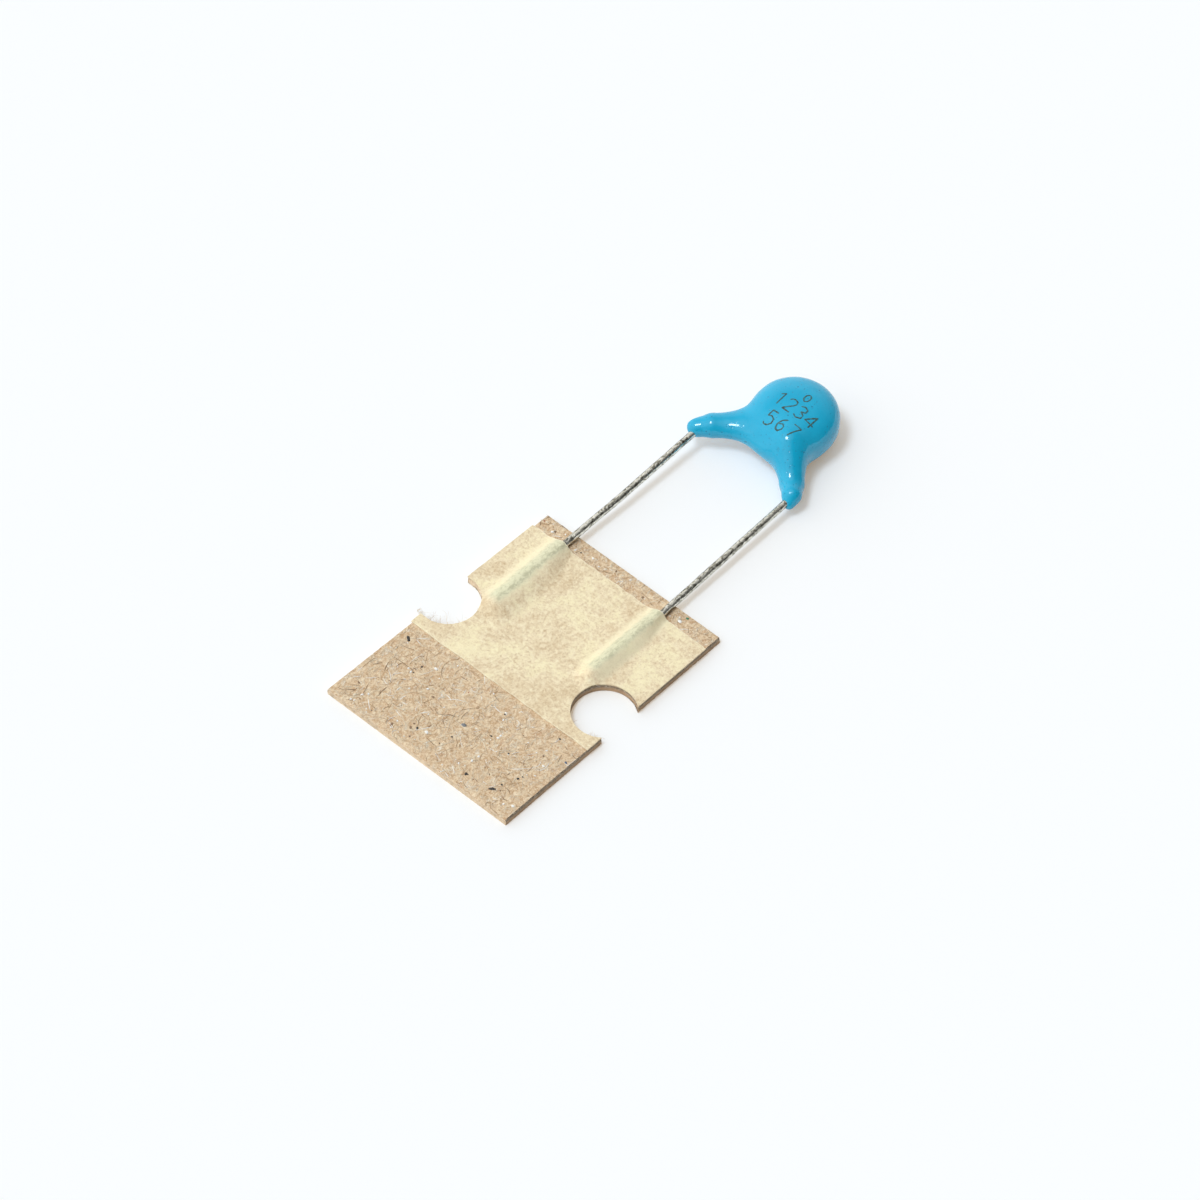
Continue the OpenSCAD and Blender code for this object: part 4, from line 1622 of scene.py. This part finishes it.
@dataclass
class Flecks:
    """Specks pressed into the card: low lumps, each a flattened ball with an uneven outline."""

    card_t: float = CARD_T
    face: OpenFace = OpenFace((-9.0, -2.6), (8.25, 9.0), (-6.3, 7.2))
    known: tuple[Fleck, ...] = (
        Fleck(-5.95, -3.3, 0.11, Tint.DARK, 2.0, -35.0),
        Fleck(0.9, -5.8, 0.13, Tint.GREY, 1.4, 20.0),
        Fleck(5.95, -6.55, 0.08, Tint.DARK, 1.3, 10.0),
        Fleck(5.35, -8.1, 0.11, Tint.DARK, 2.2, 38.0),
        Fleck(7.2, -3.8, 0.09, Tint.BLUE, 1.2, 0.0),
        Fleck(5.75, -2.75, 0.07, Tint.DARK, 1.2, 0.0),
        Fleck(-3.9, -4.3, 0.07, Tint.DARK, 1.2, 60.0),
        Fleck(2.65, -5.3, 0.06, Tint.DARK, 1.4, 10.0),
        Fleck(-5.2, 8.6, 0.06, Tint.DARK, 1.2, 10.0),
        Fleck(1.0, -6.9, 0.06, Tint.DARK, 1.2, 30.0),
        Fleck(3.6, -8.3, 0.06, Tint.DARK, 1.0, 0.0),
        Fleck(-3.2, -3.85, 0.10, Tint.WHITE, 1.3, 0.0),
        Fleck(-2.5, -5.25, 0.08, Tint.WHITE, 1.2, 45.0),
        Fleck(-0.35, -7.65, 0.11, Tint.WHITE, 1.2, 15.0),
        Fleck(0.95, -7.7, 0.10, Tint.PALE, 1.1, 0.0),
        Fleck(3.15, -6.9, 0.08, Tint.WHITE, 1.2, 80.0),
        Fleck(-4.4, -4.9, 0.07, Tint.WHITE, 1.2, 30.0),
        Fleck(6.4, -4.85, 0.07, Tint.WHITE, 1.5, 0.0),
        Fleck(7.1, -8.2, 0.09, Tint.WHITE, 1.3, 0.0),
        Fleck(-6.2, 8.75, 0.05, Tint.RED, 1.4, 0.0),
        Fleck(-0.55, -3.85, 0.05, Tint.RED, 1.2, 0.0),
        Fleck(5.15, 9.0, 0.08, Tint.GREEN, 1.4, 20.0),
    )
    strays: int = 210

    def scatter(self) -> list[Fleck]:
        """Returns small unremarkable specks, drawn at random over the open card."""
        draw = np.random.default_rng(91)
        x, y = self.face.places(draw, self.strays)
        size = draw.gamma(4.0, 0.008, self.strays) + 0.012
        shares = {
            Tint.WHITE: 0.34, Tint.PALE: 0.3, Tint.BROWN: 0.14, Tint.TAN: 0.14, Tint.DARK: 0.08,
        }
        tints = drawn_tints(draw, self.strays, shares)
        turn = draw.uniform(0, 180, self.strays)
        return [
            Fleck(float(x[k]), float(y[k]), float(size[k]), tints[k], 1.5, float(turn[k]))
            for k in range(self.strays)
        ]

    def build(self) -> None:
        """Makes all the specks as one piece."""
        flecks = [*self.known, *self.scatter()]
        rings, sides = 4, 8
        lat = np.linspace(-math.pi / 2, math.pi / 2, rings + 1)
        lon = np.arange(sides) * 2 * math.pi / sides
        lon, lat = np.meshgrid(lon, lat)
        ball = np.stack([np.cos(lat) * np.cos(lon), np.cos(lat) * np.sin(lon), np.sin(lat)], axis=-1)
        cell = lattice_triangles(rings + 1, sides, True)
        size = np.array([f.size for f in flecks])[:, None, None]
        stretch = np.array([f.stretch for f in flecks])[:, None, None]
        turn = np.radians([f.turn_deg for f in flecks])[:, None, None]
        place = np.array([[f.x, f.y] for f in flecks])[:, None, None]
        uneven = 1 + 0.25 * Relief(92, 0.7).at(ball[None] + place[..., :1] * 3.1)
        across = ball[None, ..., 0] * size * stretch * uneven
        along = ball[None, ..., 1] * size * uneven
        x = place[..., 0] + across * np.cos(turn) - along * np.sin(turn)
        y = place[..., 1] + across * np.sin(turn) + along * np.cos(turn)
        z = self.card_t + 0.004 + ball[None, ..., 2] * np.minimum(0.35 * size, 0.03)
        points = np.stack([x, y, z], axis=-1)
        each = (rings + 1) * sides
        triangles = (cell[None] + np.arange(len(flecks))[:, None, None] * each).reshape(-1, 3)
        tint = np.repeat(np.array([f.tint.value for f in flecks]), each, axis=0)
        flat, joined, kept = weld(points.reshape(-1, 3), triangles)
        made = make_mesh("card_flecks", flat, joined, {"tint": tint[kept]})
        hand_over(made, LooseBits().build())


def dress_inside() -> None:
    """Gives each hidden CAD node its plain finish."""
    finishes = {
        "ceramic_disc": ("ceramic", PlainInside("fired_ceramic", srgb(176, 141, 98), 0.0, 0.6)),
        "electrode_front": ("silver", PlainInside("fired_silver", srgb(201, 201, 196), 1.0, 0.42)),
        "electrode_back": ("silver", PlainInside("fired_silver_back", srgb(201, 201, 196), 1.0, 0.42)),
        "solder_front": ("solder", PlainInside("solder", srgb(160, 162, 166), 1.0, 0.38)),
        "solder_back": ("solder", PlainInside("solder_back", srgb(160, 162, 166), 1.0, 0.38)),
    }
    for name, (slot, finish) in finishes.items():
        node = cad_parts[name]
        node.data.materials.clear()
        node.data.materials.append(finish.build())
        log.info("%s: plain finish", name)


# ---------------------------------------------------------------------------------------------
# Stage
# ---------------------------------------------------------------------------------------------


@dataclass
class Studio:
    """Floor, lamp, surroundings and camera.

    The picture spans view_width at the camera's distance from the part's origin, and its middle
    lies camera_offset to the right of the origin and above it.
    """

    floor_white: float = 0.93
    floor_seen: Colour = (0.645, 0.752, 0.862, 1.0)
    floor_own: Colour = (0.30, 0.205, 0.10, 1.0)
    key_strength: float = 1.15
    key_colour: Triple = (0.94, 1.0, 1.04)
    key_direction: Triple = (-0.096, -0.386, 1.0)
    key_spread_deg: float = 16.0
    glow: float = 0.9
    bright_side: Triple = (-1.0, 0.0, 0.0)
    camera_azimuth: float = 42.7
    camera_elevation: float = 51.0
    camera_distance: float = 460.44
    camera_offset: Pair = (4.712, 3.850)
    view_width: float = 70.7965
    sensor: float = 36.0
    floor_reach: float = 2000.0

    def floor(self) -> None:
        """Lays a plain pale floor.

        Light that falls on the part comes off a plain white. The camera, and glossy or clear
        surfaces, see a cool colour with a little warm light of its own, so shadows stay pale.
        """
        corners = self.floor_reach * np.array([[-1, -1, 0], [1, -1, 0], [1, 1, 0], [-1, 1, 0]])
        made = make_mesh("floor", corners, np.array([[0, 1, 2], [0, 2, 3]]))
        bench = NodeBench("pale_floor")
        level = self.floor_white
        bench.set(Base_Color=(level, level, level, 1.0), Roughness=0.9, Specular_IOR_Level=0.0)
        seen = bench.node("ShaderNodeBsdfDiffuse")
        seen.inputs["Color"].default_value = self.floor_seen
        own = bench.node("ShaderNodeEmission")
        own.inputs["Color"].default_value = self.floor_own
        both = bench.added(seen, own)
        ray = bench.node("ShaderNodeLightPath").outputs
        looked_at = bench.sums("MAXIMUM", ray["Is Camera Ray"], ray["Is Glossy Ray"])
        looked_at = bench.sums("MAXIMUM", looked_at, ray["Is Transmission Ray"])
        share = bench.node("ShaderNodeMixShader")
        bench.feed(share.inputs[0], looked_at)
        bench.feed(share.inputs[1], bench.shader.outputs[0])
        bench.feed(share.inputs[2], both)
        bench.feed(bench.output.inputs["Surface"], share.outputs[0])
        made.data.materials.append(bench.material)

    def lamp(self) -> None:
        """Hangs one broad soft lamp high over the near side, a little to the left."""
        lamp = bpy.data.lights.new("key_lamp", "SUN")
        lamp.energy = self.key_strength
        lamp.angle = math.radians(self.key_spread_deg)
        lamp.color = self.key_colour
        made = bpy.data.objects.new("key_lamp", lamp)
        towards = unit(np.array(self.key_direction))
        made.rotation_mode = "QUATERNION"
        side = unit(np.cross([0.0, 1.0, 0.0], towards))
        rise = np.cross(towards, side)
        turn = Matrix([[side[k], rise[k], towards[k]] for k in range(3)])
        made.rotation_quaternion = turn.to_quaternion()
        made.location = tuple(towards)
        bpy.context.scene.collection.objects.link(made)

    def surroundings(self) -> None:
        """Sets pale walls low down, brighter on the left, a darker ceiling and the lamp's glow."""
        world = bpy.data.worlds.new("studio")
        bpy.context.scene.world = world
        sky = NodeBoard(world)
        where = sky.node("ShaderNodeTexCoord").outputs["Generated"]
        split = sky.node("ShaderNodeSeparateXYZ")
        sky.feed(split.inputs[0], where)
        ramp = sky.node("ShaderNodeValToRGB")
        sky.feed(ramp.inputs[0], split.outputs["Z"])
        stops = ramp.color_ramp.elements
        stops[0].position, stops[0].color = 0.0, (0.70, 0.69, 0.68, 1.0)
        stops[1].position, stops[1].color = 1.0, (0.42, 0.42, 0.42, 1.0)
        stops.new(0.60).color = (0.66, 0.66, 0.65, 1.0)
        stops.new(0.74).color = (0.40, 0.40, 0.40, 1.0)

        def towards(
            aim: Triple, low: float, high: float, least: float, most: float
        ) -> bpy.types.NodeSocket:
            """Returns a smooth rise from least to most with the cosine of the angle to aim."""
            dot = sky.node("ShaderNodeVectorMath", operation="DOT_PRODUCT")
            sky.feed(dot.inputs[0], where)
            dot.inputs[1].default_value = tuple(unit(np.array(aim)))
            share = sky.node("ShaderNodeMapRange", interpolation_type="SMOOTHSTEP")
            share.inputs["From Min"].default_value = low
            share.inputs["From Max"].default_value = high
            share.inputs["To Min"].default_value = least
            share.inputs["To Max"].default_value = most
            sky.feed(share.inputs["Value"], dot.outputs["Value"])
            return share.outputs["Result"]

        walls = sky.node("ShaderNodeBackground")
        sky.feed(walls.inputs["Color"], ramp.outputs[0])
        sky.feed(walls.inputs["Strength"], towards(self.bright_side, -0.8, 0.7, 0.14, 1.60))
        glow = sky.node("ShaderNodeBackground")
        glow.inputs["Color"].default_value = (1.0, 0.99, 0.98, 1.0)
        sky.feed(glow.inputs["Strength"], towards(self.key_direction, 0.70, 1.0, 0.0, self.glow))
        out = sky.node("ShaderNodeOutputWorld")
        sky.feed(out.inputs["Surface"], sky.added(walls, glow))

    def camera(self) -> None:
        """Stands the camera high over the near right side, far off, so depth hardly foreshortens."""
        a, e = math.radians(self.camera_azimuth), math.radians(self.camera_elevation)
        back = np.array([math.sin(a) * math.cos(e), -math.cos(a) * math.cos(e), math.sin(e)])
        right = np.array([math.cos(a), math.sin(a), 0.0])
        up = np.cross(back, right)
        turn = np.array([right, up, back])
        spot = turn.T @ np.array([*self.camera_offset, self.camera_distance]) * MM
        data = bpy.data.cameras.new("camera")
        data.sensor_fit = "HORIZONTAL"
        data.sensor_width = self.sensor
        data.lens = self.camera_distance / self.view_width * self.sensor
        data.clip_start, data.clip_end = 0.01, 10.0
        made = bpy.data.objects.new("camera", data)
        pose = Matrix([[*turn.T[k], spot[k]] for k in range(3)] + [[0.0, 0.0, 0.0, 1.0]])
        made.matrix_world = pose
        bpy.context.scene.collection.objects.link(made)
        bpy.context.scene.camera = made

    def build(self) -> None:
        """Makes the whole stage."""
        bpy.context.scene.view_settings.view_transform = "Standard"
        self.floor()
        self.lamp()
        self.surroundings()
        self.camera()


def main() -> None:
    """Builds every piece in order, then the stage."""
    logging.basicConfig(level=logging.INFO, format="%(name)s: %(message)s")
    plan = StripPlan()
    CardStrip(plan).build()
    TapeSheet(plan).build()
    fibres = Fibres(plan)
    fibres.on_card()
    fibres.on_edges()
    Flecks().build()
    for side in Side:
        Lead(side).build()
    coat = Coat()
    coat.build()
    Stamp().build(coat)
    dress_inside()
    Studio().build()


if __name__ == "__main__":
    main()
